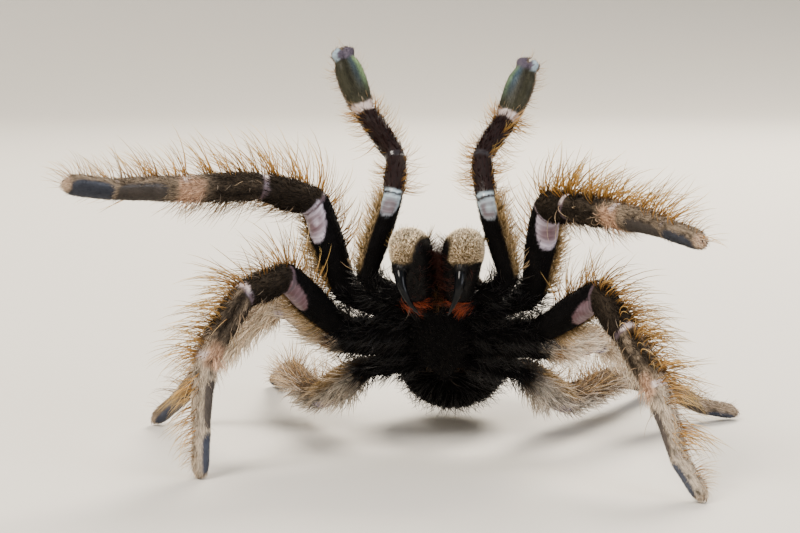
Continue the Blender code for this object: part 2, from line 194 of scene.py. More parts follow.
# Pose: degrees forward of straight outwards, and degrees above level. None is a standing foot's own slope.
POSE = {
    ("palp", "right"): ((148, 77), (-90, 46), (-20, 52), (-28, 66)),
    ("palp", "left"): ((120, 75), (-103, 50), (-61, 38), (-44, 63)),
    ("leg_1", "right"): ((28, 66), (32, 18), (35, 1), (36, 1), (36, 9)),
    ("leg_1", "left"): ((56, 65), (66, 5), (56, 0), (53, -6), (54, -7)),
    ("leg_2", "right"): ((46, 36), (50, -12), (50, -49), (33, -87), (30, None)),
    ("leg_2", "left"): ((39, 27), (51, -37), (62, -34), (50, -64), (51, None)),
    ("leg_3", "right"): ((-3, 29), (-28, -32), (-36, -38), (-31, -46), (-20, None)),
    ("leg_3", "left"): ((-40, 0), (-46, -18), (-48, -44), (-42, -25), (-30, None)),
    ("leg_4", "right"): ((-48, -26), (-62, 4), (-70, 2), (-74, -16), (-75, None)),
    ("leg_4", "left"): ((-60, -27), (-64, 4), (-67, 2), (-69, -16), (-70, None)),
}
# The way the dorsal side faces, outwards, back and up, for the femur and for the lengths past the knee.
DORSAL_SIDE = {
    "palp": ((0.0, 1.0, 0.2), (0.0, 1.0, -0.2)),
    "leg_1": ((-0.4, 0.9, 0.0), (0.0, 0.8, 0.6)),
    "leg_2": ((0.0, 0.5, 0.85), (0.5, 0.2, 0.85)),
    "leg_3": ((0.0, 0.1, 1.0), (0.4, 0.2, 0.9)),
    "leg_4": ((0.0, 0.0, 1.0), (0.1, 0.1, 1.0)),
}

# Chelicerae: forward, half width and half height.
CHELICERA_STATIONS = (
    (10.1, 2.6, 3.0),
    (12.0, 2.9, 3.5),
    (14.4, 3.1, 3.85),
    (16.7, 3.05, 3.7),
    (18.5, 2.7, 3.05),
    (19.6, 1.95, 2.15),
    (20.2, 0.95, 1.0),
)
CHELICERA_BASE_OUT = 3.1
CHELICERA_TIP_OUT = {"right": 3.8, "left": 4.5}
CHELICERA_MID_DORSAL = 1.8
CHELICERA_ARCH = 0.9
FANG_ROOT = {"right": (16.3, 4.7, -1.95), "left": (16.3, 3.9, -1.95)}
FANG_BEND = {"right": (15.9, 4.6, -5.9), "left": (15.9, 4.1, -5.9)}
FANG_TIP = {"right": (11.2, 1.9, -5.6), "left": (11.2, 2.0, -5.6)}
FANG_ROOT_RADIUS = 0.95
FANG_SUNK = 0.6
FANG_TIP_RADIUS = 0.1
FANG_STEPS = 60
# A claw's root, bend and tip: ahead of the foot's end, above its axis and away from the middle.
CLAW = ((-1.5, 0.25, 0.22), (-0.15, 0.75, 0.4), (0.05, -0.25, 0.45))
CLAW_RADII = (0.16, 0.03)
CLAW_STEPS = 10

# Sternum and body core: forward, half width, ventral level.
CORE_STATIONS = (
    (-10.1, 1.4, 0.6),
    (-7.8, 1.9, -0.4),
    (-6.0, 3.2, -1.0),
    (-3.0, 4.1, -1.35),
    (0.0, 4.35, -1.5),
    (3.0, 3.9, -1.4),
    (5.0, 2.5, -1.2),
    (6.8, 2.0, -1.3),
    (7.6, 1.7, 0.2),
    (9.6, 1.6, 0.8),
)
# Eyes on the tubercle: outward, forward of the tubercle's middle, radius.
EYES = {
    "front_middle": (0.55, 0.35, 0.36),
    "front_side": (1.35, 0.75, 0.34),
    "rear_middle": (0.8, -0.5, 0.22),
    "rear_side": (1.6, -0.3, 0.3),
}

# Rows and points of the surfaces that the skin is drawn over, in millimetres and points round.
ROW_STEP = 0.35
ROUND_POINTS = 44
SMOOTH_PASSES = 8
GROUPS = LIMBS + ("sternum", "carapace", "chelicera", "abdomen", "pedicel", "spinneret")

# Where each surface lies on the coat's map, by its side: left, bottom, width and height of its cell. The
# limbs lie in rows below the rest, the right ones first.
LIMB_CELLS = ((-1, 0.0), (1, 0.5))
ATLAS = {
    ("sternum", 0): (0.0, 0.52, 0.2, 0.3),
    ("carapace", 0): (0.21, 0.52, 0.22, 0.3),
    ("abdomen", 0): (0.44, 0.52, 0.24, 0.42),
    ("chelicera", -1): (0.69, 0.52, 0.14, 0.2),
    ("chelicera", 1): (0.84, 0.52, 0.14, 0.2),
    ("pedicel", 0): (0.69, 0.74, 0.05, 0.1),
    ("spinneret", -1): (0.76, 0.74, 0.06, 0.08),
    ("spinneret", 1): (0.84, 0.74, 0.06, 0.08),
}
ATLAS.update(
    ((kind, way), (left, 0.1 * row + 0.005, 0.49, 0.09))
    for row, kind in enumerate(LIMBS)
    for way, left in LIMB_CELLS
)
# Width of a hair on the map.
TUFT_PATCH = 0.003


def linear(code):
    """The linear colour of an sRGB hex code such as #d9c6a4."""
    shares = [int(code[place : place + 2], 16) / 255.0 for place in (1, 3, 5)]
    return tuple(share / 12.92 if share <= 0.04045 else ((share + 0.055) / 1.055) ** 2.4 for share in shares)


# ---------------------------------------------------------------- settings


def colour(name, description, code):
    return bpy.props.FloatVectorProperty(
        name=name, description=description, subtype="COLOR", size=3, min=0.0, max=1.0, default=linear(code)
    )


def size(name, description, value):
    return bpy.props.FloatProperty(
        name=name,
        description=description,
        subtype="DISTANCE",
        unit="LENGTH",
        min=0.0,
        precision=5,
        default=value,
    )


def number(name, description, value):
    return bpy.props.FloatProperty(name=name, description=description, min=0.0, default=value)


class TarantulaColours(bpy.types.PropertyGroup):
    velvet: colour("Velvet", "Black nap under the raised legs and over the sternum", "#060506")
    smoke: colour("Smoke", "Dark grey-brown hair of the knees and shins", "#1c1713")
    ash: colour("Ash", "Pale ends of the hair of the knees and shins", "#564b3e")
    sand: colour("Sand", "Beige hair of the lower legs", "#867360")
    cream: colour("Cream", "Cream hair of the lower legs", "#d2bda4")
    ivory: colour("Ivory", "Thick pale hair of the third legs", "#efe3d0")
    wheat: colour("Wheat", "Golden ends of the hair along the backs of the thighs", "#bd9c62")
    # Peach also stands in for a painted glow of light through the hair under the ends of the shins.
    peach: colour("Peach", "Warm hair under the ends of the shins of the raised legs", "#dfb494")
    honey: colour("Honey", "Golden hair along the backs of the thighs", "#94692f")
    rust: colour("Rust", "Orange root of a long bristle", "#8a5f21")
    straw: colour("Straw", "Straw-coloured end of a long bristle", "#c2a45e")
    gold: colour("Gold", "Golden nap on the fronts of the chelicerae", "#b08a50")
    pale_gold: colour("Pale gold", "Ends of the golden nap", "#fbeed2")
    ember: colour("Ember", "Red-orange fringe of the mouth", "#a2492a")
    garnet: colour("Garnet", "Dark red-brown of the palps' knees and the mouth's inner hair", "#210c09")
    lilac: colour("Lilac", "Bare membrane of the joints", "#a39bab")
    plum: colour("Plum", "Middle of the bare membrane at the knee", "#45292f")
    bone: colour("Bone", "Whitish bare skin beside the joints", "#b3a4a2")
    slate: colour("Slate", "Blue-grey soles of the toes", "#2c2f38")
    peat: colour("Peat", "Brown-grey soles behind the toes", "#37322f")
    moss: colour("Moss", "Olive-grey soles of the palps", "#3b3a2e")
    # The next two colours are a painted sheen: the green and blue shine of the palps' soles, laid into their
    # colour.
    green_sheen: colour("Reed", "Green edges of the palps' soles", "#8aa574")
    blue_sheen: colour("Mist", "Blue edges of the palps' soles", "#486072")
    frost: colour("Frost", "Pale outer lobes at the ends of the palps", "#7f8f99")
    dusk: colour("Dusk", "Purple-grey inner lobes at the ends of the palps", "#4b4550")
    umber: colour("Umber", "Brown nap of the carapace", "#3f2a1a")
    cocoa: colour("Cocoa", "Dark brown hair of the abdomen", "#2a1b12")
    fawn: colour("Fawn", "Light brown ends of the abdomen's hair", "#8a643c")
    horn: colour("Horn", "Black horn of the fangs", "#040507")
    claw: colour("Claw", "Brown-black horn of the claws", "#1c1411")
    floor: colour("Floor", "Pale studio floor", "#c4c0b8")


class TarantulaCoat(bpy.types.PropertyGroup):
    voxel: size("Skin grid", "Grid on which the skin is drawn", 0.00036)
    pile_density: number("Pile density", "Short hairs on a square millimetre", 9.0)
    bristle_length: size("Bristle length", "Longest bristles, on the raised legs", 0.0078)
    seed: bpy.props.IntProperty(name="Seed", description="Seed of every random draw in the coat", default=7)


class TarantulaStage(bpy.types.PropertyGroup):
    floor_reach: size("Floor reach", "How far the level floor reaches before it curves up", 0.9)
    key_power: bpy.props.FloatProperty(
        name="Key light", description="Power of the large soft light", unit="POWER", min=0.0, default=24.0
    )
    sky: number("Sky", "Strength of the even light from all round", 0.85)
    lens: bpy.props.FloatProperty(
        name="Lens", description="Focal length", subtype="DISTANCE_CAMERA", min=1.0, default=100.0
    )


# ---------------------------------------------------------------- the spider's form


def unit(vector):
    return vector / np.linalg.norm(vector, axis=-1, keepdims=True)


def blend(start, end, share):
    return start + (end - start) * share


def ramp(low, high, value):
    """A smooth step from 0 at low to 1 at high."""
    share = np.clip((value - low) / (high - low), 0.0, 1.0)
    return share * share * (3.0 - 2.0 * share)


def body_point(forward, across, dorsal):
    """Points of the front body; across is the spider's left."""
    forward, across, dorsal = (np.asarray(value, float)[..., None] for value in (forward, across, dorsal))
    return STERNUM_CENTRE + FORWARD * forward + LEFT * across + DORSAL * dorsal


def on_side(side, *places):
    """Points of one side of the front body, each given as forward, outward and dorsal."""
    return [body_point(forward, SIDES[side] * outward, dorsal) for forward, outward, dorsal in places]


def mirror(side):
    return vec(SIDES[side], 1.0, 1.0)


def columns(table):
    return [np.array(column) for column in zip(*table)]


def ring_of(wide, deep, count):
    """Ways from a ring's middle to its points; wide and deep may be one way for each of many rings."""
    turns = TAU * np.arange(count) / count
    return wide[..., None, :] * np.cos(turns)[:, None] + deep[..., None, :] * np.sin(turns)[:, None]


def heading(side, forward_angle, rise_angle):
    turn, rise = math.radians(forward_angle), math.radians(rise_angle)
    level = math.cos(rise)
    return vec(SIDES[side] * math.cos(turn) * level, -math.sin(turn) * level, math.sin(rise))


def standing_rise(height, length, half_height):
    """The slope of a foot that starts at a height over the floor and sinks into it by the pad's depth."""
    rounding = TIP_SHARE * length
    slope = math.radians(30.0)
    for _ in range(20):
        reach = math.hypot(rounding * math.sin(slope), half_height * math.cos(slope))
        tip_height = reach - rounding * math.sin(slope) - PAD_SINK
        slope = math.asin(min(max((height - tip_height) / length, 0.0), 1.0))
    return -math.degrees(slope)


def limb_line(kind, side):
    """The joints of a limb from the coxa's root to the tip of the foot."""
    root, hip = on_side(side, COXA_ROOT[kind], HIP[kind])
    joints = [root, hip]
    end = hip
    for length, (forward_angle, rise_angle) in zip(LENGTHS[kind], POSE[kind, side]):
        if rise_angle is None:
            rise_angle = standing_rise(end[2], length, LEG_GIRTH["tarsus"][1] * GIRTH_SCALE[kind])
        end = end + heading(side, forward_angle, rise_angle) * length
        joints.append(end)
    turn = unit(hip - root) + unit(joints[2] - hip)
    joints.insert(2, hip + unit(turn) * TROCHANTER_LENGTH)
    return joints


def limb_lengths(kind, side):
    """The lengths of a limb, each with its ends, its directions and its half width and height."""
    girth = PALP_GIRTH if kind == "palp" else LEG_GIRTH
    names = [name for name in PARTS if name in girth]
    joints = limb_line(kind, side)
    near_dorsal, far_dorsal = (vec(*way) * mirror(side) for way in DORSAL_SIDE[kind])
    wanted_by_name = {"coxa": DORSAL, "trochanter": near_dorsal, "femur": near_dorsal, "patella": far_dorsal}
    lengths = []
    dorsal = None
    for name, start, end in zip(names, joints, joints[1:]):
        axis = unit(end - start)
        wanted = wanted_by_name.get(name, dorsal)
        dorsal = unit(wanted - axis * (wanted @ axis))
        half = vec(*girth[name]) * GIRTH_SCALE[kind]
        lengths.append(
            {"name": name, "start": start, "end": end, "axis": axis, "dorsal": dorsal, "half": half}
        )
    return lengths


def swell(start, middle, end, share):
    """Half sizes that run from start to end and swell to the middle value half way."""
    share = share[:, None]
    straight = start + (end - start) * share
    return straight + (middle - 0.5 * (start + end)) * np.sin(math.pi * share) ** 0.75


class Surface:
    """A grid of points, row by row along a piece, with what the skin needs to know at each point."""

    def __init__(self, group, side, points, along, share, part=0, length=1.0, turn=None):
        self.group = GROUPS.index(group)
        self.side = SIDES.get(side, 0.0)
        self.points = points
        rows, around = points.shape[:2]
        self.along = np.broadcast_to(along[:, None], (rows, around))
        self.share = np.broadcast_to(share[:, None], (rows, around))
        self.part = np.broadcast_to(np.broadcast_to(part, rows)[:, None], (rows, around))
        self.length = np.broadcast_to(np.broadcast_to(length, rows)[:, None], (rows, around))
        turn = TAU * np.arange(around) / around if turn is None else turn
        self.turn = np.broadcast_to(turn, (rows, around))

    def faces(self):
        """Quads between the rows, and a fan from the middle of each end row, one of the last two points."""
        rows, around = self.points.shape[:2]
        near = np.arange(rows * around).reshape(rows, around)
        ring = np.roll(near, -1, axis=1)
        quads = np.stack([near[:-1], ring[:-1], ring[1:], near[1:]], axis=-1).reshape(-1, 4)
        first, last = rows * around, rows * around + 1
        start = [(first, int(b), int(a)) for a, b in zip(near[0], ring[0])]
        end = [(last, int(a), int(b)) for a, b in zip(near[-1], ring[-1])]
        return quads.tolist() + start + end

    def corners(self):
        ends = np.stack([self.points[0].mean(axis=0), self.points[-1].mean(axis=0)])
        return np.concatenate([self.points.reshape(-1, 3), ends])


def smoothed(points, passes=SMOOTH_PASSES):
    """Rows evened out along the piece, which rounds its bends. The end rows stay."""
    for _ in range(passes):
        points[1:-1] = 0.25 * points[:-2] + 0.5 * points[1:-1] + 0.25 * points[2:]
    return points


def length_sizes(near, length, far, share):
    """Half widths and heights along a length: waisted at its joints and swollen between them."""
    inset = COAT_DEPTH[length["name"]]
    half = length["half"] - inset
    start_half = WAIST * 0.5 * (near["half"] + length["half"]) - inset if near else half * ROOT_TAPER
    end_half = WAIST * 0.5 * (far["half"] + length["half"]) - inset if far else half
    return swell(start_half, half, end_half, share)


def length_rows(kind, near, length, far):
    """One length of a limb: rows of points between mitred ends, and the share of the length at each row."""
    name, start, end, axis, dorsal = (length[key] for key in ("name", "start", "end", "axis", "dorsal"))
    start_normal = unit(near["axis"] + axis) if near else axis
    end_normal = unit(axis + far["axis"]) if far else axis
    turns = TAU * np.arange(ROUND_POINTS) / ROUND_POINTS
    cosines, sines = np.cos(turns)[None, :], np.sin(turns)[None, :]
    share = np.linspace(0.0, 1.0, max(6, round(float((end - start) @ axis) / ROW_STEP)))
    share = share[1:] if near else share
    sizes = length_sizes(near, length, far, share)
    tip = np.zeros_like(share)
    if far is None:
        tip = np.clip((share - 1.0 + TIP_SHARE) / TIP_SHARE, 0.0, 1.0)
        sizes = sizes * np.sqrt(np.clip(1.0 - tip**TIP_ROUNDNESS, 0.0, 1.0))[:, None]
    flat = ramp(*FLAT_FROM[name], share) if name in FLAT_FROM else np.zeros_like(share)
    lift = sines * (1.0 - SOLE_FLATTENING * flat[:, None] * (sines < 0.0) * np.abs(sines))
    off = np.cross(axis, dorsal) * (sizes[:, :1] * cosines)[..., None]
    begin = start + (off + dorsal * (sizes[:, 1:] * lift)[..., None])
    first = (start - begin) @ start_normal / (axis @ start_normal)
    last = (end - begin) @ end_normal / (axis @ end_normal)
    ahead = first + (last - first) * share[:, None]
    cleft = PALP_CLEFT if kind == "palp" else TIP_CLEFT
    ahead = ahead - cleft * (tip * tip)[:, None] * (1.0 - np.abs(cosines)) ** 1.3
    return begin + axis * ahead[..., None], share


def limb_surface(kind, side):
    """A limb's skin from inside the sternum to the cleft tip of the foot."""
    lengths = limb_lengths(kind, side)
    rows, shares, parts, alongs, spans = [], [], [], [], []
    travelled = 0.0
    for near, length, far in zip([None] + lengths, lengths, lengths[1:] + [None]):
        points, share = length_rows(kind, near, length, far)
        span = float((length["end"] - length["start"]) @ length["axis"])
        rows.append(points)
        shares.append(share)
        parts.append(np.full(len(share), PARTS.index(length["name"])))
        alongs.append(travelled + share * span)
        spans.append(np.full(len(share), span))
        travelled += span
    points = smoothed(np.concatenate(rows))
    if kind == "palp":
        foot = np.concatenate(parts) == PARTS.index("tarsus")
        girth = np.where(foot, np.interp(np.concatenate(shares), *PALP_FOOT), 1.0)[:, None, None]
        middle = points.mean(axis=1, keepdims=True)
        points = middle + (points - middle) * girth
    # One more row inside the sternum, which takes what the first row says.
    points = np.concatenate([points[:1] - lengths[0]["axis"] * ROOT_DEPTH, points])
    told = [np.concatenate([pieces[0][:1]] + pieces) for pieces in (alongs, shares, parts, spans)]
    return Surface(kind, side, points, *told)


def section(centre, wide, high, half_width, half_height, power=1.0):
    """Rings round a line of centres; a power under 1 squares them off."""
    turns = TAU * np.arange(ROUND_POINTS) / ROUND_POINTS
    cosines, sines = (np.sign(wave) * np.abs(wave) ** power for wave in (np.cos(turns), np.sin(turns)))
    across = wide * (np.asarray(half_width)[:, None] * cosines)[..., None]
    lift = high * (np.asarray(half_height)[:, None] * sines)[..., None]
    return centre[:, None, :] + across + lift


def core_surface():
    """The sternum with its lip, and the flesh above it up into the carapace."""
    forward, half, level = columns(CORE_STATIONS)
    steps = np.arange(forward[0], forward[-1], ROW_STEP)
    half_width = np.interp(steps, forward, half) - CORE_COAT
    bottom = np.interp(steps, forward, level) + CORE_COAT
    top = CORE_TOP + CORE_SUNK
    centre = body_point(steps, 0.0, 0.5 * (top + bottom))
    points = section(centre, LEFT, DORSAL, half_width, 0.5 * (top - bottom), 0.62)
    return Surface("sternum", 0, smoothed(points, 3), steps, (steps - steps[0]) / np.ptp(steps))


def carapace_lift(forward, across):
    """Height of the shell over its margin: a raised head, radiating grooves, a pit and the eye tubercle."""
    along, wide = (forward - CARAPACE_CENTRE) / (0.5 * CARAPACE_LENGTH), across / (0.5 * CARAPACE_WIDTH)
    dome = np.maximum(1.0 - along * along * 0.98 - wide * wide, 0.0) ** 0.42
    head = 0.16 * np.exp(-(((along - 0.5) / 0.35) ** 2 + (wide / 0.4) ** 2))
    lift = CARAPACE_HEIGHT * (0.86 * dome + head)
    reach = np.hypot(along + 0.05, wide)
    spoke = np.cos(8.0 * np.arctan2(wide, along + 0.05)) ** 8
    lift = lift - 0.28 * spoke * ramp(0.08, 0.3, reach) * ramp(0.95, 0.6, reach)
    lift = lift - 0.55 * np.exp(-(((along + 0.08) / 0.06) ** 2 + (wide / 0.13) ** 2))
    eyes = np.exp(-((((forward - EYE_TUBERCLE_FORWARD) / 1.15) ** 2 + (across / 2.0) ** 2) ** 2))
    return lift + 0.62 * eyes


def carapace_surface():
    """Rows from the middle of the underside out to the margin and in again over the top."""
    around = 120
    turn = TAU * np.arange(around) / around
    along = 0.5 * CARAPACE_LENGTH * np.cos(turn) * (1.0 - 0.04 * np.cos(turn))
    blunt = np.abs(np.sin(turn)) ** (1.0 - 0.4 * np.maximum(np.cos(turn), 0.0))
    taper = 1.0 - 0.13 * np.cos(turn) - 0.09 * np.cos(2.0 * turn)
    across = 0.5 * CARAPACE_WIDTH * np.sign(np.sin(turn)) * blunt * taper / 1.09
    rows = []
    for scale in np.linspace(0.05, 0.97, 26):
        level = CARAPACE_UNDERSIDE - 0.8 * (1.0 - ramp(0.75, 0.97, scale))
        rows.append(body_point(CARAPACE_CENTRE + along * scale, across * scale, level))
    for scale in np.linspace(0.985, 0.02, 34):
        forward = CARAPACE_CENTRE + along * scale
        lift = carapace_lift(forward, across * scale) * ramp(1.0, 0.94, scale)
        rows.append(body_point(forward, across * scale, CARAPACE_MARGIN + lift))
    points = np.stack(rows)
    surface = Surface("carapace", 0, points, np.zeros(len(rows)), np.zeros(len(rows)))
    flat = points - STERNUM_CENTRE
    surface.along = flat @ FORWARD
    surface.turn = TAU * (0.5 + (flat @ LEFT) / SHELL_ROUND)
    surface.share = (flat @ DORSAL - CARAPACE_UNDERSIDE) / CARAPACE_HEIGHT
    return surface


def chelicera_line(side, forward):
    first, last = CHELICERA_STATIONS[0][0], CHELICERA_STATIONS[-1][0]
    share = (forward - first) / (last - first)
    out = blend(CHELICERA_BASE_OUT, CHELICERA_TIP_OUT[side], share)
    arch = CHELICERA_ARCH * np.sin(math.pi * np.minimum(share * 1.15, 1.0))
    return SIDES[side] * out, CHELICERA_MID_DORSAL + arch - 0.5 * share


def chelicera_surface(side):
    forward, half, high = columns(CHELICERA_STATIONS)
    steps = np.linspace(forward[0] - 1.6, forward[-1] - 0.05, 40)
    steps = forward[-1] - (forward[-1] - steps) ** 1.25 / (forward[-1] - steps[0]) ** 0.25
    reach = np.maximum(steps, forward[0])
    across, dorsal = chelicera_line(side, reach)
    closing = np.sqrt(np.clip((forward[-1] - steps) / 1.4, 0.0, 1.0))
    width, height = (
        (np.interp(steps, forward, sizes) - CHELICERA_COAT) * closing**0.3 for sizes in (half, high)
    )
    points = section(body_point(steps, across, dorsal), LEFT, DORSAL, width, height, 0.92)
    share = (steps - steps[0]) / np.ptp(steps)
    return Surface("chelicera", side, smoothed(points, 4), steps, share)


def abdomen_line(share):
    share = np.asarray(share)[..., None]
    return ABDOMEN_FRONT + BACK * ABDOMEN_LENGTH * share - UP * ABDOMEN_DROOP * share * share


def abdomen_surface():
    share = 0.5 - 0.5 * np.cos(np.linspace(0.06, math.pi - 0.05, 90))
    skewed = share**1.12
    girth = (4.0 * skewed * (1.0 - skewed)) ** 0.47
    inset = ABDOMEN_COAT * np.minimum(girth * 2.0, 1.0)
    half_width = 0.5 * ABDOMEN_WIDTH * girth - inset
    half_height = 0.5 * ABDOMEN_HEIGHT * girth - inset
    points = section(abdomen_line(share), LEFT, UP, half_width, half_height)
    return Surface("abdomen", 0, points, share * ABDOMEN_LENGTH, share)


def rod_surface(group, side, start, end, radii, start_axis, end_axis):
    """A short round piece that leaves and arrives along axes of its own."""
    share = np.linspace(0.0, 1.0, 24)
    centre = blend(start, end, share[:, None])
    axis = unit(blend(start_axis, end_axis, share[:, None]))
    wide = unit(np.cross(axis, UP))
    radius = np.interp(share, *radii)
    points = centre[:, None, :] + ring_of(wide, np.cross(wide, axis), 24) * radius[:, None, None]
    reach = float(np.linalg.norm(end - start))
    return Surface(group, side, points, share * reach, share, length=reach)


def pedicel_surface():
    start = body_point(CORE_STATIONS[0][0] + 1.0, 0.0, PEDICEL_DORSAL)
    end = abdomen_line(0.05)
    radii = ((0.0, 1.0), (PEDICEL_RADIUS * 0.85, PEDICEL_RADIUS * 0.85))
    return rod_surface("pedicel", 0, start, end, radii, -FORWARD, BACK)


def spinneret_surface(side):
    base = abdomen_line(1.0) + SPINNERET_BASE * mirror(side)
    tip = base + SPINNERET_REACH * mirror(side)
    start = base - unit(tip - base) * 2.0
    radii = ((0.0, 0.4, 0.7, 0.92, 1.0), (SPINNERET_RADIUS, SPINNERET_RADIUS, 0.7, 0.55, 0.36))
    axis = unit(tip - start)
    return rod_surface("spinneret", side, start, tip, radii, axis, axis)


def fang_socket(side):
    """The swelling at the end of a chelicera that the fang comes out of."""
    root, bend = on_side(side, FANG_ROOT[side], FANG_BEND[side])
    axis = unit(bend - root)
    radii = ((0.0, 0.25, 0.6, 0.85, 1.0), (0.9, 1.15, 1.2, 1.12, 0.95))
    return rod_surface("chelicera", side, root - axis * 2.2, root + axis * 0.55, radii, axis, axis)


def all_surfaces():
    surfaces = [core_surface(), carapace_surface(), abdomen_surface(), pedicel_surface()]
    for side in SIDES:
        surfaces += [chelicera_surface(side), fang_socket(side), spinneret_surface(side)]
        surfaces += [limb_surface(kind, side) for kind in LIMBS]
    return surfaces


# ---------------------------------------------------------------- where each point of the skin lies


def grain(points, scale, seed=0):
    """Smooth noise from 0 to 1 with lumps of about that many millimetres."""
    scaled = points / scale + 31.7 * (seed + 1)
    cell = np.floor(scaled).astype(np.int64)
    inner = scaled - cell
    inner = inner * inner * (3.0 - 2.0 * inner)
    total = np.zeros(len(points))
    for corner in itertools.product((0, 1), repeat=3):
        key = (cell + corner) @ np.array((73856093, 19349663, 83492791))
        key = (key ^ (key >> 13)) * 1274126177 & 0xFFFFFFFF
        value = ((key ^ (key >> 16)) & 0xFFFF) / 65535.0
        total += value * np.prod(np.where(corner, inner, 1.0 - inner), axis=1)
    return total


def flattened(surfaces):
    """All points of the surfaces, and what the skin needs to know at each, as one array for each thing."""
    flat = collections.defaultdict(list)
    for surface in surfaces:
        points = surface.points
        rows, around = points.shape[:2]
        wrap = np.roll(points, -1, axis=1) - np.roll(points, 1, axis=1)
        flat["points"].append(points.reshape(-1, 3))
        flat["lie"].append(unit(np.gradient(points, axis=0) + 1e-9).reshape(-1, 3))
        flat["wrap"].append(unit(wrap + 1e-9).reshape(-1, 3))
        flat["girth"].append((np.linalg.norm(wrap, axis=-1) * 0.5 * around).reshape(-1))
        for name in ("group", "side", "part", "share", "along", "turn", "length"):
            flat[name].append(np.broadcast_to(getattr(surface, name), (rows, around)).reshape(-1))
    return {name: np.concatenate(values) for name, values in flat.items()}


def nearest_of(places, points):
    """The index of the place nearest to each point."""
    tree = KDTree(len(places))
    for index, place in enumerate(places):
        tree.insert(place, index)
    tree.balance()
    return np.array([tree.find(point)[1] for point in points])


# Distance from a joint, in millimetres, of points that aren't on the lengths that meet there.
FAR = 99.0


class Field:
    """For each point of the skin, the surface it came from and its place along and around it."""

    def __init__(self, surfaces, points):
        flat = flattened(surfaces)
        nearest = nearest_of(flat["points"], points)
        near = types.SimpleNamespace(**{name: values[nearest] for name, values in flat.items()})
        self.points, self.length = points, near.length
        self.group, self.side, self.part = near.group, near.side, near.part
        self.lie, self.wrap, self.girth = near.lie, near.wrap, np.maximum(near.girth, 1.0)
        offset = points - near.points
        ahead = (offset * near.lie).sum(axis=1)
        self.along = near.along + ahead
        self.share = np.clip(near.share + ahead / self.length, 0.0, 1.0)
        self.turn = near.turn + TAU * (offset * near.wrap).sum(axis=1) / self.girth
        body = points - STERNUM_CENTRE
        self.forward, self.dorsal, self.out = body @ FORWARD, body @ DORSAL, body @ LEFT
        self.name_members()
        self.comb_shell()
        self.comb_jaws()
        self.top = np.sin(self.turn)
        self.fore = np.cos(self.turn) * np.where(self.side == 0.0, 1.0, self.side)

    def name_members(self):
        """Names the points on each surface and each length of the limbs, and on a few of them together."""
        on = {name: self.group == index for index, name in enumerate(GROUPS)}
        on.update(front=on["leg_1"] | on["leg_2"], hind=on["leg_3"] | on["leg_4"])
        limb = self.group < len(LIMBS)
        at = {name: limb & (self.part == index) for index, name in enumerate(PARTS)}
        at.update(hip=at["coxa"] | at["trochanter"], lower=at["metatarsus"] | at["tarsus"])
        at["knee_and_shin"] = at["patella"] | at["tibia"]
        at["thigh_to_shin"] = at["femur"] | at["knee_and_shin"]
        self.on, self.at = types.SimpleNamespace(**on), types.SimpleNamespace(**at)

    def comb_shell(self):
        """Measures the carapace from its middle, and combs its hair outwards."""
        shell = self.on.carapace
        self.along[shell] = self.forward[shell]
        self.turn[shell] = TAU * (0.5 + self.out[shell] / SHELL_ROUND)
        self.girth[shell] = SHELL_ROUND
        outward = FORWARD * (self.forward + 1.0)[:, None] + LEFT * self.out[:, None]
        self.lie[shell] = unit(outward + 1e-6)[shell]

    def comb_jaws(self):
        """Combs the hair at the bases of the palps in towards the mouth."""
        inwards = FORWARD * 0.2 - LEFT * (0.9 * self.side)[:, None] - DORSAL * 0.5
        jaw = self.at.coxa & self.on.palp
        near = (jaw * ramp(6.8, 5.4, np.abs(self.out)))[:, None]
        self.lie = unit(self.lie + (unit(inwards) - self.lie) * near)

    def past(self, joint):
        """Millimetres past the joint that ends this length, negative before it; far away elsewhere."""
        before, after = (vars(self.at)[name] for name in PARTS[PARTS.index(joint) :][:2])
        if joint == "tibia":
            after = after | (self.on.palp & self.at.tarsus)
        distance = np.where(before, (self.share - 1.0) * self.length, FAR)
        return np.where(after, self.share * self.length, distance)

    def atlas(self, mesh):
        """The coat's map: each face laid flat in its own surface's cell."""
        corners = np.empty(len(mesh.loops), dtype=np.int32)
        mesh.loops.foreach_get("vertex_index", corners)
        starts = np.empty(len(mesh.polygons), dtype=np.int32)
        totals = np.empty(len(mesh.polygons), dtype=np.int32)
        mesh.polygons.foreach_get("loop_start", starts)
        mesh.polygons.foreach_get("loop_total", totals)
        lead = corners[np.repeat(starts, totals)]
        around = self.turn / TAU
        shift = around[corners] - around[lead]
        height = (around[lead] % 1.0) + shift - np.round(shift)
        reach = np.empty(len(corners))
        place = np.zeros((len(corners), 2))
        for (name, side), (left, bottom, width, tall) in ATLAS.items():
            member = vars(self.on)[name] & ((self.side == side) | (side == 0))
            own = member[lead]
            if not own.any():
                continue
            low, high = self.along[member].min(), self.along[member].max()
            stray = own & ~member[corners]
            reach[own] = (self.along[corners[own]] - low) / (high - low)
            reach[stray] = (self.along[lead[stray]] - low) / (high - low)
            height[stray] = around[lead[stray]] % 1.0
            place[own, 0] = left + width * np.clip(reach[own], 0.0, 1.0)
            place[own, 1] = bottom + tall * np.clip(height[own], 0.0, 1.0)
        return place


def shield(field):
    """The bare shield under each knee: widest at the joint and pointed towards the body."""
    beyond = field.past("femur")
    off_sole = np.degrees(np.arccos(np.clip(-field.top, -1.0, 1.0)))
    length = np.where(field.on.palp, 3.6, 4.9)
    edge = 62.0 * np.sqrt(np.clip(1.0 - (np.minimum(beyond, 0.0) / length) ** 2, 0.0, 1.0))
    return ramp(5.0, -5.0, off_sole - edge) * ramp(-length, -length + 0.5, beyond) * ramp(0.9, 0.4, beyond)


def bare_ring(field, joint, before, after):
    """A band across a joint with an uneven edge."""
    beyond = field.past(joint) + 0.6 * (grain(field.points, 1.0, 20) - 0.5)
    return ramp(-before - 0.3, -before, beyond) * ramp(after + 0.3, after, beyond)


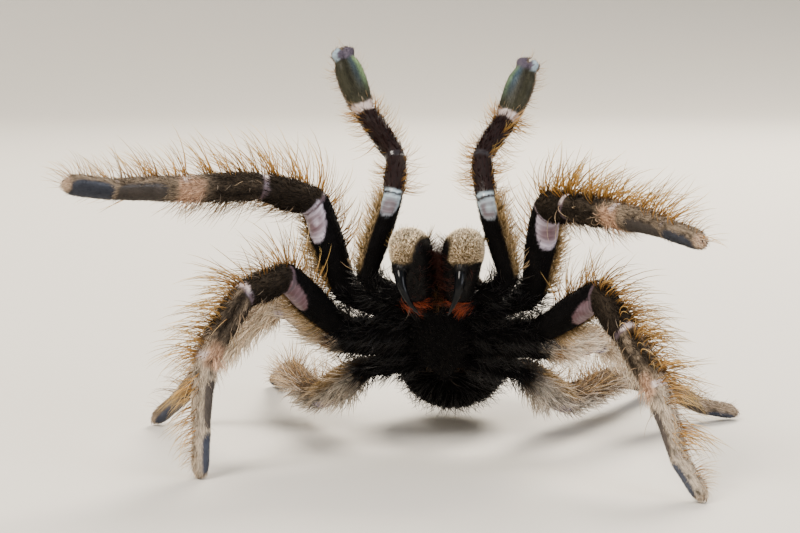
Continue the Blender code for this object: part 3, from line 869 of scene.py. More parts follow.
def sole(field):
    """The oval pads of close hair under the last two lengths of each limb."""
    on, at = field.on, field.at
    pads = np.zeros(len(field.points))
    ovals = (
        (at.metatarsus, 0.64, 0.36),
        (at.tarsus & ~on.palp, 0.46, 0.42),
        (at.tarsus & on.palp, 0.5, 0.56),
    )
    for member, middle, half in ovals:
        ends = np.abs(field.share - middle) / half
        across = field.top + 0.25 * np.abs(field.fore) + 0.55 * ends**4
        pads += member * ramp(0.32, -0.02, across) * ramp(1.05, 0.9, ends)
    return np.clip(pads, 0.0, 1.0)


def nap_back(field):
    """The cream and golden hair along the back and outer edges of the thighs, from 0 to 1."""
    on = field.on
    rear = -field.fore * 0.95 + field.top * 0.25
    low = np.where(on.front, 0.1 + 0.26 * ramp(0.35, 0.7, field.share), 0.36)
    narrow = (on.front | on.palp) * ramp(low, low + 0.3, rear)
    wide = on.leg_3 * ramp(-0.55, -0.2, field.top + 0.25 * rear)
    tan = on.leg_4 * ramp(-0.2, 0.2, field.top)
    thigh = field.at.femur * ramp(0.0, 0.12, field.share)
    return thigh * np.clip(narrow + wide + tan, 0.0, 1.0)


def inks(colours):
    """The colours of the settings by name, as arrays."""
    return types.SimpleNamespace(
        **{name: np.array(getattr(colours, name)[:]) for name in TarantulaColours.__annotations__}
    )


def wash(base, layer, amount):
    """One colour laid over another by an amount at each point."""
    return base + (np.asarray(layer) - base) * np.asarray(amount)[:, None]


def paint(root, tip, layers):
    """Lays colours over roots and tips in turn: a mask, a colour for each, and how much each takes."""
    for mask, root_ink, tip_ink, root_share, tip_share in layers:
        root = wash(root, root_ink, mask * root_share)
        tip = wash(tip, tip_ink, mask * tip_share)
    return root, tip


class Markings:
    """The colours and the masks that the skin and the coat share."""

    def __init__(self, field, colours):
        self.field, self.ink = field, inks(colours)
        on, at = field.on, field.at
        self.membrane = shield(field)
        folds = bare_ring(field, "patella", 0.2, 0.4) * ramp(0.9, 0.4, field.top)
        self.rings = np.clip(folds + bare_ring(field, "femur", 0.1, 0.15), 0.0, 1.0)
        # Whitish skin at the joints, over the tops and fronts of the legs and round the palps' wrists.
        wide = 0.15 + 0.55 * ramp(0.0, 0.7, field.top)
        bone = bare_ring(field, "patella", wide, 0.15) + 0.9 * bare_ring(field, "tibia", 0.45, 0.3)
        bone = bone + 0.4 * bare_ring(field, "metatarsus", 0.0, 0.1)
        front = ramp(0.1, 0.6, 0.9 * field.top + 0.45 * field.fore)
        front = front * np.select([on.palp, on.hind], [0.0, 0.35], 1.0)
        wrist = bare_ring(field, "tibia", 0.9, 0.1) * on.palp * ramp(0.9, 0.5, field.top)
        self.bone = np.clip(np.clip(bone, 0.0, 1.0) * front + 0.8 * wrist, 0.0, 1.0)
        self.sole = sole(field)
        self.cream = nap_back(field)
        # Black hips and undersides of the thighs; on the hind legs the black ends unevenly past the hip.
        past = np.where(at.coxa, -TROCHANTER_LENGTH, field.past("trochanter"))
        past = past + 3.0 * (grain(field.points, 0.9, 25) - 0.5)
        self.past_hip = np.where(on.leg_3, ramp(-1.2, 0.8, past), ramp(-0.8, 2.6, past))
        under = np.where(at.hip, ramp(0.75, 0.2, field.top), ramp(0.95, 0.6, field.top))
        raised = (at.hip | at.femur) & (on.palp | on.front)
        dark = raised * under + (at.hip & on.hind) * under * (1.0 - self.past_hip) + on.sternum
        self.velvet = dark * (1.0 - self.cream)
        self.underbelly = (on.abdomen | on.pedicel) * ramp(0.45, 0.0, field.top)
        self.gold = self.chelicera_gold()
        self.bare = np.clip(self.membrane + self.rings + self.bone, 0.0, 1.0)
        self.pile_root, self.pile_tip = self.pile_colours()
        self.tint = self.skin_colours()

    def rise(self):
        """Height over the sternum's middle."""
        return FORWARD[2] * self.field.forward + DORSAL[2] * self.field.dorsal

    def painted_glow(self):
        """Painted glow: light shining through the hair below and around the end of each shin of the front
        legs, laid into its colour.
        """
        beyond = self.field.past("tibia")
        painted_glow = ramp(-3.2, -1.6, beyond) * ramp(1.8, 0.8, beyond) * ramp(0.5, -0.2, self.field.top)
        return painted_glow * self.field.on.front

    def chelicera_gold(self):
        """The golden front of each chelicera: a crisp lower edge over the fang, and a black inner face."""
        field = self.field
        stations, half, _ = columns(CHELICERA_STATIONS)
        share = (field.forward - stations[0]) / (stations[-1] - stations[0])
        left = field.side > 0.0
        tip_out = np.where(left, CHELICERA_TIP_OUT["left"], CHELICERA_TIP_OUT["right"])
        centre = blend(CHELICERA_BASE_OUT, tip_out, share)
        inward = (centre - field.out * field.side) / np.interp(field.forward, stations, half)
        level = ramp(12.6, 17.4, self.rise())
        edge = np.where(left, 0.62 + 0.3 * level, 0.15 + 0.9 * level)
        front = ramp(12.5, 12.9, self.rise() + 0.4 * grain(field.points, 0.8, 3))
        front = front * ramp(12.5, 14.5, field.forward)
        return field.on.chelicera * front * ramp(edge + 0.12, edge - 0.12, inward)

    def pile_colours(self):
        """Root and tip colours of the short coat."""
        field, ink = self.field, self.ink
        patches, fine = grain(field.points, 1.6, 1), grain(field.points, 0.6, 2)
        root = np.tile(ink.smoke, (len(fine), 1))
        tip = wash(root, ink.ash, 0.1 + 0.6 * patches * ramp(-0.6, 0.6, field.top + 0.4))
        nap_tip = 0.5 * (ink.wheat + ink.cream)
        crown = 0.7 + 0.3 * ramp(12.8, 16.0, self.rise())
        layers = (
            *self.shin_layers(patches, fine),
            *self.hind_layers(patches),
            (self.cream * ~field.on.leg_3, 0.4 * ink.wheat, nap_tip, 1.0, 0.6 + 0.4 * fine),
            (self.velvet, ink.velvet, 1.4 * ink.velvet, 1.0, 1.0),
            *self.shell_layers(),
            *self.belly_layers(),
            (field.on.chelicera, ink.velvet, 1.6 * ink.velvet, 1.0, 1.0),
            (self.gold, 0.45 * ink.gold, ink.gold, 1.0, 1.0),
            (self.gold, ink.gold, ink.pale_gold, 0.0, crown),
        )
        return paint(root, tip, layers)

    def shin_layers(self, patches, fine):
        """Pale lower legs with rows of dark dots, pale wrists, toes and ends of shins, a painted glow under
        the ends of the shins, and dark red palps.
        """
        field, ink = self.field, self.ink
        on, at = field.on, field.at
        rows = 0.5 + 0.5 * np.cos(5.0 * field.turn + 1.2 * (patches - 0.5))
        reach = np.select([on.leg_1, on.leg_2, on.palp], [0.5, 1.0, 0.45], 0.75)
        mottled = np.where(on.leg_2, 0.2 + 0.4 * ramp(0.4, 0.7, fine), 0.18) * rows
        pale = at.lower * reach + at.tibia * (mottled * reach + 0.85 * ramp(0.62, 0.95, field.share))
        pale = np.where(on.palp & at.tibia, 0.9 * ramp(0.82, 0.97, field.share), pale)
        pale = np.clip(pale * (0.5 + 0.9 * patches), 0.0, 1.0)
        dots = at.lower * ramp(0.5, 0.75, fine) * ramp(0.4, 0.9, rows)
        toes = on.leg_1 * at.tarsus * ramp(0.84, 0.92, field.share)
        red = (on.palp & at.knee_and_shin) * (1.0 - pale)
        return (
            (pale, ink.sand, ink.cream, 0.8, 1.0),
            (at.lower & on.leg_2, 0.6 * ink.cream, ink.ivory, 0.7, 0.7),
            # Painted glow under the ends of the shins.
            (self.painted_glow(), 0.6 * ink.peach, ink.peach, 0.8, 0.8),
            (dots, ink.smoke, ink.smoke, 0.8, 0.7),
            (toes, 0.7 * ink.peach, 0.5 * (ink.peach + ink.ivory), 1.0, 1.0),
            (red, 0.6 * ink.garnet, 0.7 * ink.garnet, 1.0, 1.0),
        )

    def hind_layers(self, patches):
        """Ivory third legs that are tan over the back, and tan fourth legs with a painted whitish-blue
        highlight below.
        """
        field, ink = self.field, self.ink
        on, at = field.on, field.at
        light = (on.leg_3 & (at.trochanter | at.thigh_to_shin)) * (0.75 + 0.5 * patches)
        light = np.clip(light, 0.0, 1.0) * self.past_hip
        over = ramp(0.1, 0.8, field.top - 0.3 * field.fore)[:, None]
        light_root = blend(ink.cream, 0.7 * ink.sand, 0.8 * over)
        light_tip = blend(ink.ivory, ink.wheat, 0.6 * over)
        tan = on.leg_4 * (0.45 + 0.5 * patches) * (0.3 + 0.7 * self.past_hip)
        # Painted highlight: the undersides of the fourth legs' thighs and knees turn whitish-blue, as light
        # caught on their hair.
        painted_highlight = on.leg_4 * (at.femur | at.patella) * ramp(0.2, -0.4, field.top) * self.past_hip
        highlight_white = 0.6 * ink.ivory + 0.4 * ink.frost
        scar = at.femur * ramp(0.04, 0.1, field.share) * ramp(0.26, 0.16, field.share)
        scar = scar * on.leg_3 * ramp(0.2, 0.6, field.fore)
        return (
            (light, light_root, light_tip, 1.0, 1.0),
            (tan, 0.7 * ink.sand, 0.5 * (ink.honey + ink.cream), 1.0, 0.8),
            (painted_highlight, 0.6 * highlight_white, highlight_white, 0.7, 0.8),
            (scar, 0.6 * ink.rust, ink.rust, 1.0, 0.8),
        )

    def shell_layers(self):
        """The carapace: brown with golden rays between dark grooves, and black round the eyes and below."""
        field, ink = self.field, self.ink
        shell = field.on.carapace
        ahead = field.forward + 1.3
        rays = (0.5 + 0.5 * np.cos(8.0 * np.arctan2(field.out, ahead))) ** 3
        rays = rays * ramp(1.5, 4.0, np.hypot(field.out, ahead))
        rays = rays + ramp(7.6, 9.2, np.hypot(field.out * 1.08, field.forward)) * 0.5
        bright = wash(ink.honey * 0.5, ink.fawn, 0.2 + 0.5 * grain(field.points, 0.7, 21))
        brow = ramp(7.9, 8.8, field.forward) * ramp(1.0, 0.6, field.share)
        beneath = np.maximum(ramp(0.12, 0.02, field.share), brow)
        tubercle = ramp(1.35, 0.9, np.hypot(field.out / 2.1, (field.forward - EYE_TUBERCLE_FORWARD) / 1.25))
        return (
            (shell, 0.7 * ink.umber, bright, 1.0, 0.85),
            (shell * np.clip(0.75 * rays, 0.0, 0.9), ink.umber, 0.5 * ink.umber, 0.0, 1.0),
            (shell * np.maximum(beneath, 0.85 * tubercle), ink.velvet, ink.velvet, 1.0, 1.0),
        )

    def belly_layers(self):
        """The abdomen: brown, with dark chevrons and a dark stripe over its back, and black below."""
        field, ink = self.field, self.ink
        on = field.on
        back = on.abdomen * ramp(0.1, 0.6, field.top)
        bands = 0.5 + 0.5 * np.cos(TAU * (field.along + 0.55 * np.abs(field.out)) / 4.4)
        chevrons = back * ramp(0.35, 0.75, bands) * ramp(7.5, 4.0, np.abs(field.out))
        stripe = back * ramp(1.5, 0.7, np.abs(field.out))
        fawn_share = 0.25 + 0.35 * grain(field.points, 1.6, 22) + 0.35 * back
        return (
            (on.abdomen | on.pedicel | on.spinneret, 0.6 * ink.cocoa, ink.fawn, 1.0, fawn_share),
            (np.clip(0.8 * chevrons + 0.7 * stripe, 0.0, 1.0), ink.cocoa, 0.8 * ink.cocoa, 0.0, 1.0),
            (self.underbelly, ink.velvet, 1.6 * ink.velvet, 1.0, 1.0),
        )

    def pad_tones(self):
        """The soles: blue-grey and brown on the legs, and on the palps olive with two lobes and a painted
        green and blue sheen towards the front.
        """
        field, ink = self.field, self.ink
        on = field.on
        grown, left = ramp(0.1, 0.6, field.share), field.side > 0.0
        palm = np.tile(ink.moss, (len(field.points), 1))
        # Painted sheen: towards its front edge the palm turns blue and then green.
        palm = wash(palm, ink.blue_sheen, np.where(left, 0.7, 0.4) * grown * ramp(-0.1, 0.35, field.fore))
        palm = 0.6 * wash(palm, ink.green_sheen, np.where(left, 0.6, 0.95) * grown * ramp(0.4, 0.8, field.fore))
        lobes = np.where((field.fore > -0.6)[:, None], ink.dusk, ink.frost)
        palm = wash(palm, lobes, ramp(0.75, 0.8, field.share))
        pads = np.where(field.at.tarsus[:, None], ink.slate, ink.peat)
        pads = pads * np.where(on.palp | on.leg_1, 1.0, 1.9)[:, None]
        pads = np.where(on.palp[:, None], palm, pads)
        seam = np.exp(-(((field.fore + 0.22) / 0.12) ** 2)) * on.palp * ramp(0.1, 0.4, field.share)
        return pads * (1.0 - 0.55 * seam[:, None]) * (0.75 + 0.5 * grain(field.points, 0.8, 6)[:, None])

    def skin_colours(self):
        """The skin: dark under the coat, with bare soles, membranes, folds and rings."""
        field, ink = self.field, self.ink
        on = field.on
        tint = 0.5 * (self.pile_root + self.pile_tip) * np.where(on.carapace | on.abdomen, 0.4, 0.7)[:, None]
        tint = wash(tint, ink.gold * 0.2, self.gold)
        tint = wash(tint, self.pad_tones(), self.sole)
        depth = ramp(0.45, 0.95, -field.top) * ramp(-4.2, -2.6, field.past("femur"))
        centre = depth * ramp(0.1, -1.4, field.past("femur"))
        centre = centre * ramp(0.15, 0.6, grain(field.points, 1.3, 4) + 0.2)
        dull = np.where(on.leg_2, 0.8 + 0.2 * grain(field.points, 0.9, 24), 0.85 * centre)
        clear = np.where(on.palp[:, None], ink.frost * 1.35, ink.lilac * 0.9)
        tint = wash(tint, wash(clear, ink.plum, dull), self.membrane)
        folds = (0.1 * ink.lilac + 0.4 * ink.plum) * np.where(on.palp, 0.15, 1.0)[:, None]
        return wash(wash(tint, folds, self.rings), ink.bone * 0.9, self.bone)


# ---------------------------------------------------------------- the coat


# Each rule gives, at every point of the skin, hairs on a square millimetre, their length in millimetres, how
# far they stand up in degrees, and the colours of their roots and tips.


def short_coat(marks, coat):
    """Hair that lies flat all over, and is shortest on the velvet, the face and the feet."""
    field = marks.field
    on, at = field.on, field.at
    length = np.select([at.metatarsus, at.tarsus], [0.85, 0.6], 1.05)
    length = blend(blend(length, 1.5, marks.cream), 0.55, marks.velvet)
    combed = on.leg_3 & at.thigh_to_shin
    length = np.select([on.abdomen, on.carapace, on.chelicera, combed], [1.7, 0.9, 0.55, 1.5], length)
    density = coat.pile_density * np.clip(1.1 / length, 0.6, 1.6)
    density = density * (1.0 - marks.bare) * (1.0 - marks.sole) * (1.0 - marks.gold)
    density = density * np.where(marks.velvet > 0.5, 0.75, 1.0)
    shiny = on.palp * np.select([at.patella, at.tibia], [0.85, 0.5], 0.0)
    density = density * (1.0 - shiny * ramp(0.5, 0.1, field.top))
    lift = 14.0 + 16.0 * grain(field.points, 0.9, 8)
    return density, length, lift, marks.pile_root, marks.pile_tip


def fringe(marks, coat):
    """Longer fine hair: black on the hips, cream on the thighs' rear edges and combed over the hind legs."""
    field, ink = marks.field, marks.ink
    on, at = field.on, field.at
    combed = on.hind & at.thigh_to_shin
    thighs = marks.cream * ~combed
    # The hair under the ends of the shins also takes the painted glow.
    painted_glow = marks.painted_glow()
    shins = (at.knee_and_shin & on.front) * (0.08 + ramp(0.4, 0.9, -field.fore)) + 1.5 * painted_glow
    wrists = on.palp * ramp(-3.0, -1.5, field.past("tibia")) * ramp(1.2, 0.4, field.past("tibia"))
    wrists = wrists * ramp(0.2, 0.6, np.abs(field.fore))
    feet = at.lower * (1.0 - marks.sole) * ramp(0.0, 0.3, np.abs(field.fore))
    density = 9.0 * thighs + combed * 4.5 * ramp(0.9, -0.2, field.top) + 1.8 * shins
    density = density + 1.2 * feet + 4.5 * at.hip + 3.0 * on.sternum + 5.0 * wrists
    length = np.select([on.sternum, at.tarsus, at.metatarsus, combed], [1.4, 1.0, 1.5, 3.2], 2.7)
    length = length * (0.7 + 0.6 * grain(field.points, 1.1, 9))
    lift = np.where(combed, 26.0, 38.0) + 18.0 * grain(field.points, 0.8, 10)
    black = at.hip | on.sternum
    light = np.where(black & ~on.hind, 0.0, np.where(combed | black, 0.8, 0.3)) * marks.past_hip
    ends = np.where(on.leg_3[:, None], ink.ivory, ink.cream)
    edge = np.clip(shins, 0.0, 1.0) * ramp(0.3, 0.7, -field.fore)
    layers = (
        (light, ends, ends, 0.0, 1.0),
        (thighs, 0.5 * ink.wheat, 0.5 * (ink.wheat + ink.cream), 0.8, 1.0),
        (painted_glow, ink.peach, ink.peach, 0.0, 0.8),
        (edge, ink.rust, ink.straw, 0.7, 0.8),
        (wrists, ink.rust, 0.5 * (ink.straw + ink.peach), 1.0, 1.0),
    )
    return density * (1.0 - marks.bare), length, lift, *paint(marks.pile_root, marks.pile_tip, layers)


def bristles(marks, coat):
    """The long curved bristles, thickest along the tops of the raised legs."""
    field, ink = marks.field, marks.ink
    on, at = field.on, field.at
    body = on.abdomen | on.carapace
    clumps = 0.35 + 1.3 * ramp(0.3, 0.7, grain(field.points, 1.3, 23))
    density = 0.1 * ~on.palp + np.where(on.front, 2.9, 0.8) * ramp(0.15, 0.8, field.top) * clumps
    density = density + on.front * at.knee_and_shin * 3.4 * ramp(0.35, 0.85, -field.fore)
    density = density + on.palp * 4.2 * ramp(0.55, 0.85, np.abs(field.fore)) * clumps
    beside = np.where(on.leg_2, -field.fore, np.abs(field.fore))
    density = density + (on.leg_2 | on.hind) * 0.9 * ramp(0.3, 0.9, beside) * clumps
    thigh = ramp(0.05, 0.45, field.share) * (1.0 - marks.velvet * 0.95) * ramp(0.95, 0.5, field.fore)
    density = density * np.select([at.hip, at.femur], [0.0, thigh * ramp(0.2, 0.6, field.top)], 1.0)
    rim = on.carapace * ramp(0.6, 0.95, np.hypot(field.out / 9.2, field.forward / 10.0))
    density = np.where(body, on.abdomen * 1.8 + rim * 1.1, density)
    density = density * (1.0 - marks.membrane) * (1.0 - marks.sole)
    # Longest on the knees and shins, and on the upper side.
    reach = np.interp(field.part, (2, 3, 4, 5, 6), (0.85, 1.0, 0.95, 0.8, 0.5))
    length = coat.bristle_length / MM * reach * np.select([on.palp, on.hind], [0.6, 0.75], 1.0)
    length = length * (0.62 + 0.38 * ramp(-0.4, 0.7, field.top))
    length = length * (0.55 + 0.65 * grain(field.points, 0.7, 11))
    length = np.select([on.abdomen, on.carapace], [4.0, 2.2], length)
    lift = 34.0 + 18.0 * ramp(-0.3, 0.6, field.top) + 30.0 * grain(field.points, 0.8, 12) + 16.0 * on.palp
    lift = np.where(body, 26.0 + 14.0 * grain(field.points, 0.8, 13), lift)
    # From sand and cream on the third legs to rust and straw on the front ones.
    warm = np.select([on.leg_1, on.leg_2], [1.0, 0.7], 0.5) * ramp(-0.5, 0.5, field.top)
    warm = np.select([on.leg_3, on.palp], [0.15, 1.0], np.clip(warm + 0.15, 0.0, 1.0))
    root, tip = (np.tile(shade, (len(warm), 1)) for shade in (ink.sand * 0.7, ink.cream * 0.8))
    layers = (
        (warm, ink.rust, ink.straw, 1.0, 1.0),
        (body, ink.cocoa, ink.fawn, 1.0, 1.0),
        (marks.underbelly, ink.velvet, ink.velvet, 1.0, 1.0),
    )
    return density, length, lift, *paint(root, tip, layers)


def golden_nap(marks, coat):
    """The close golden nap on the fronts of the chelicerae."""
    lift = 58.0 + 20.0 * grain(marks.field.points, 0.4, 14)
    return 95.0 * marks.gold, np.full(len(lift), 0.3), lift, marks.pile_root, marks.pile_tip


def face_fringe(marks, coat):
    """Hairs over and between the chelicerae, and the red-orange fringes of the mouth."""
    field, ink = marks.field, marks.ink
    on = field.on
    high = ramp(13.6, 15.0, marks.rise())
    behind = on.chelicera * high * ramp(0.2, 0.7, field.top) * ramp(0.97, 0.7, field.share)
    behind = behind * (1.0 - marks.gold)
    beside = marks.gold * high * ramp(-0.1, 0.5, field.fore + 0.5 * field.top)
    between = on.chelicera * ramp(-0.3, -0.75, field.fore) * ramp(16.0, 13.5, field.forward)
    between = between * ramp(-0.5, 0.1, field.top)
    near = ramp(5.8, 4.6, np.abs(field.out))
    jaw = on.palp * field.at.coxa * ramp(0.7, 0.0, field.top) * near
    lip = on.sternum * ramp(5.6, 7.0, field.forward) * ramp(1.6, 0.6, field.dorsal)
    mouth = on.chelicera * ramp(0.1, -0.4, field.top) * ramp(0.85, 0.5, field.share)
    mouth = mouth * ramp(0.45, -0.1, field.fore)
    density = 2.0 * behind + 1.8 * beside + 18.0 * between + 12.0 * lip + 20.0 * jaw + 4.5 * mouth
    length = 1.4 * (0.7 + 0.5 * grain(field.points, 0.6, 15))
    lengths = [2.6, 1.1, length * 1.5, 2.0]
    length = np.select([behind > 0.3, beside > 0.3, jaw > 0.3, between > 0.3], lengths, length)
    lift = 34.0 + 22.0 * grain(field.points, 0.5, 16)
    lift = np.select([beside > 0.3, jaw > 0.3], [62.0, lift - 8.0], lift)
    tip = np.tile(ink.ember, (len(lift), 1))
    tip = wash(tip, ink.garnet, np.where(on.chelicera, 0.85, 0.35 * (lip > 0.0)))
    tip = wash(tip, ink.honey * 0.5, on.sternum * ramp(1.3, 0.8, np.abs(field.out)))
    tip = wash(tip, ink.velvet, 0.75 * between)
    root = wash(wash(tip * 0.45, ink.smoke, behind), ink.honey * 0.6, beside)
    return density, length, lift, root, wash(tip, ink.straw * 0.8, np.clip(behind + beside, 0.0, 1.0))


def foot_tufts(marks, coat):
    """Close hair on the soles, and the paired tufts that hide the claws."""
    field, ink = marks.field, marks.ink
    tuft = (field.at.tarsus & ~field.on.palp) * ramp(0.8, 0.92, field.share)
    root = wash(marks.tint * 0.75, ink.cream * 0.6, tuft)
    tip = wash(marks.tint * 1.3, np.clip(ink.cream * 1.25, 0.0, 1.0), tuft)
    return 24.0 * tuft + 32.0 * marks.sole, 0.34 + 0.4 * tuft, 22.0 + 34.0 * tuft, root, tip


Hair = collections.namedtuple("Hair", "steps width first_angle last_angle")
Scatter = collections.namedtuple("Scatter", "tilt twist shade")
Piece = collections.namedtuple("Piece", "rule groups hair scatter finish")
# Hairs by their steps, their width as a share of their length, and their first and last angles in degrees.
FLAT_HAIR = Hair(2, 0.10, 8.0, -16.0)
NAP_HAIR = Hair(2, 0.3, 8.0, -16.0)
FINE_HAIR = Hair(3, 0.042, 14.0, -22.0)
LONG_HAIR = Hair(5, 0.023, 12.0, -38.0)
# How much hairs differ at random: tilt and twist in degrees, and a share of their shade.
FRONT_PILE = Scatter(9.0, 22.0, 0.45)
REAR_PILE = Scatter(9.0, 22.0, 0.4)
LOOSE = Scatter(16.0, 26.0, 0.35)
STIFF = Scatter(14.0, 22.0, 0.35)
NAP = Scatter(16.0, 60.0, 0.6)
FACE = Scatter(16.0, 22.0, 0.4)
TUFT = Scatter(14.0, 40.0, 0.4)
HEAD = ("palp", "chelicera", "sternum")
TRUNK = ("carapace", "abdomen", "pedicel", "spinneret")
# Each coat piece: its rule, the surfaces it grows on, its hair, its scatter and its finish.
COAT_PIECES = {
    "coat_leg_1": Piece(short_coat, ("leg_1",), FLAT_HAIR, FRONT_PILE, "pile"),
    "coat_leg_2": Piece(short_coat, ("leg_2",), FLAT_HAIR, FRONT_PILE, "pile"),
    "coat_leg_3": Piece(short_coat, ("leg_3",), FLAT_HAIR, REAR_PILE, "pile"),
    "coat_leg_4": Piece(short_coat, ("leg_4",), FLAT_HAIR, REAR_PILE, "pile"),
    "coat_head": Piece(short_coat, HEAD, FLAT_HAIR, REAR_PILE, "pile"),
    "coat_body": Piece(short_coat, TRUNK, FLAT_HAIR, REAR_PILE, "pile"),
    "fringe_front": Piece(fringe, ("palp", "leg_1", "leg_2", "sternum"), FINE_HAIR, LOOSE, "bristle"),
    "fringe_rear": Piece(fringe, ("leg_3", "leg_4"), FINE_HAIR, LOOSE, "bristle"),
    "bristles_front": Piece(bristles, ("leg_1", "palp"), LONG_HAIR, STIFF, "bristle"),
    "bristles_middle": Piece(bristles, ("leg_2",), LONG_HAIR, STIFF, "bristle"),
    "bristles_rear": Piece(bristles, ("leg_3", "leg_4", "carapace", "abdomen"), LONG_HAIR, STIFF, "bristle"),
    "golden_nap": Piece(golden_nap, ("chelicera",), NAP_HAIR, NAP, "pile"),
    "face_fringe": Piece(face_fringe, HEAD, FINE_HAIR, FACE, "bristle"),
    "foot_tufts": Piece(foot_tufts, LIMBS, FLAT_HAIR, TUFT, "pile"),
}
# What the coat's tree draws at random for each hair, and what it reads from the skin and from the hairs.
SCATTERS = ("Tilt scatter", "Twist scatter", "Length scatter", "Shade scatter")
COAT_ATTRIBUTES = {
    "hair_density": "FLOAT",
    "hair_length": "FLOAT",
    "hair_lift": "FLOAT",
    "hair_root": "FLOAT_COLOR",
    "hair_tip": "FLOAT_COLOR",
    "lie": "FLOAT_VECTOR",
    "coat_place": "FLOAT_VECTOR",
    "grow": "FLOAT",
    "shade": "FLOAT",
    "OFBake": "FLOAT_VECTOR",
}
# What a finished coat piece no longer needs.
SPENT_ATTRIBUTES = (set(COAT_ATTRIBUTES) - {"OFBake"}) | {"marks", "nap_place"}
LENGTH_SCATTER = 0.22
# Sideways bow of each variant of a hair as a share of its length, and how much more or less it curls.
VARIANTS = ((-0.09, 0.65), (0.02, 1.0), (0.11, 1.35))
# Size of the patches of lighter and darker hairs, in metres, and how much they differ in shade.
MOTTLE_PATCH = 0.00028
MOTTLE = 2.0
MOTTLE_OF_PIECE = {"golden_nap": 4.5, "foot_tufts": 0.5}
DARKEST_SHADE = 0.12
# The colour stays near the root's for longer the higher this is.
TIP_POWER = 1.4
# How far the lie of the coat wanders to either side, as a share of its length, and the size of the patches in
# which it does, in millimetres.
LIE_SWAY = {"pile": 0.35, "bristle": 0.8}
SWAY_PATCH = 1.5
# Hair near the floor is no longer than its root is high, and what still reaches lower is pressed flat on it.
FLOOR_SPARE = 0.15
PRESSED_HEIGHT = 0.2


def hair_mesh(name, hair, bow, curl):
    """One hair of unit length: three-sided, pointed, and bent from its first angle to its last."""
    steps = hair.steps
    share = np.linspace(0.0, 1.0, steps + 1)
    angle = np.radians(blend(hair.first_angle * curl, hair.last_angle * curl, share))
    middle = 0.5 * (angle[1:] + angle[:-1])
    step = 1.0 / steps
    path = np.zeros((steps + 1, 3))
    path[1:, 0] = np.cumsum(np.cos(middle)) * step
    path[1:, 2] = np.cumsum(np.sin(middle)) * step
    path[:, 1] = bow * share**2
    turns = TAU * np.arange(3) / 3 + 0.5 * math.pi
    side = np.stack([np.zeros(3), np.cos(turns), np.sin(turns)], axis=1)
    corners = [path[row] + side * (0.5 * hair.width * (1.0 - share[row]) ** 0.6) for row in range(steps)]
    sides = ((0, 1), (1, 2), (2, 0))
    faces = [(2, 1, 0)]
    for near in range(0, 3 * steps - 3, 3):
        faces += [(near + a, near + b, near + 3 + b, near + 3 + a) for a, b in sides]
    last = 3 * (steps - 1)
    faces += [(last + a, last + b, last + 3) for a, b in sides]
    mesh = bpy.data.meshes.new(name)
    mesh.from_pydata(np.concatenate(corners + [path[-1:]]).tolist(), [], faces)
    mesh.shade_smooth()
    grow = np.append(np.repeat(share[:-1], 3), 1.0)
    store(mesh, "grow", "FLOAT", grow)
    across = np.append(np.tile((-0.5, 0.0, 0.5), steps), 0.0)
    loops = np.array([corner.vertex_index for corner in mesh.loops])
    place = np.stack([grow[loops] - 0.5, across[loops]], axis=1) * TUFT_PATCH
    mesh.uv_layers.new(name="OFBake").data.foreach_set("uv", place.astype(np.float32).ravel())
    return bpy.data.objects.new(name, mesh)


def store(mesh, name, kind, values):
    """Writes an attribute at the mesh's points; a colour gets a full alpha."""
    values = np.asarray(values, dtype=np.float32)
    if kind == "FLOAT_COLOR":
        values = np.concatenate([values, np.ones((len(values), 1), np.float32)], axis=1)
    attribute = mesh.attributes.get(name) or mesh.attributes.new(name, kind, "POINT")
    member = {"FLOAT": "value", "FLOAT_COLOR": "color", "FLOAT_VECTOR": "vector"}[kind]
    attribute.data.foreach_set(member, values.ravel())


def in_use(sockets, name=None):
    """The first socket that is in use, or the first of that name."""
    return next(each for each in sockets if each.enabled and name in (None, each.name))


def add(tree, kind, settings=None, inputs=None):
    """Adds a node with its settings, and feeds its inputs: a value, a socket, or a node's first output."""
    node = tree.nodes.new(kind)
    for name, value in (settings or {}).items():
        setattr(node, name, value)
    for name, source in (inputs or {}).items():
        target = node.inputs[name] if isinstance(name, int) else in_use(node.inputs, name)
        if isinstance(source, bpy.types.Node):
            source = in_use(source.outputs)
        if isinstance(source, bpy.types.NodeSocket):
            tree.links.new(source, target)
        else:
            target.default_value = source
    return node


def planted_hairs(node, given, read, draws):
    """Hairs as instances on points of the skin, turned along the lie of the coat and lifted off it."""
    spread = node(
        "GeometryNodeDistributePointsOnFaces",
        {"distribute_method": "RANDOM"},
        {"Mesh": given["Geometry"], "Density": read["hair_density"], "Seed": given["Seed"]},
    )
    along = node(
        "FunctionNodeAxesToRotation",
        {"primary_axis": "Z", "secondary_axis": "X"},
        {"Primary Axis": spread.outputs["Normal"], "Secondary Axis": read["lie"]},
    )
    lift = node("ShaderNodeMath", {"operation": "ADD"}, {0: read["hair_lift"], 1: draws["Tilt scatter"]})
    down = node("ShaderNodeMath", {"operation": "MULTIPLY"}, {0: lift, 1: -1.0})
    turned = node("ShaderNodeCombineXYZ", {}, {"Y": down, "Z": draws["Twist scatter"]})
    local = node("FunctionNodeEulerToRotation", {}, {0: turned})
    rotation = node(
        "FunctionNodeRotateRotation", {"rotation_space": "LOCAL"}, {"Rotation": along, "Rotate By": local}
    )
    share = node("ShaderNodeMath", {"operation": "ADD"}, {0: draws["Length scatter"], 1: 1.0})
    length = node("ShaderNodeMath", {"operation": "MULTIPLY"}, {0: read["hair_length"], 1: share})
    hairs = node(
        "GeometryNodeCollectionInfo",
        {"transform_space": "ORIGINAL"},
        {"Collection": given["Hairs"], "Separate Children": True, "Reset Children": True},
    )
    return node(
        "GeometryNodeInstanceOnPoints",
        {},
        {"Points": spread, "Instance": hairs, "Pick Instance": True, "Rotation": rotation, "Scale": length},
    )


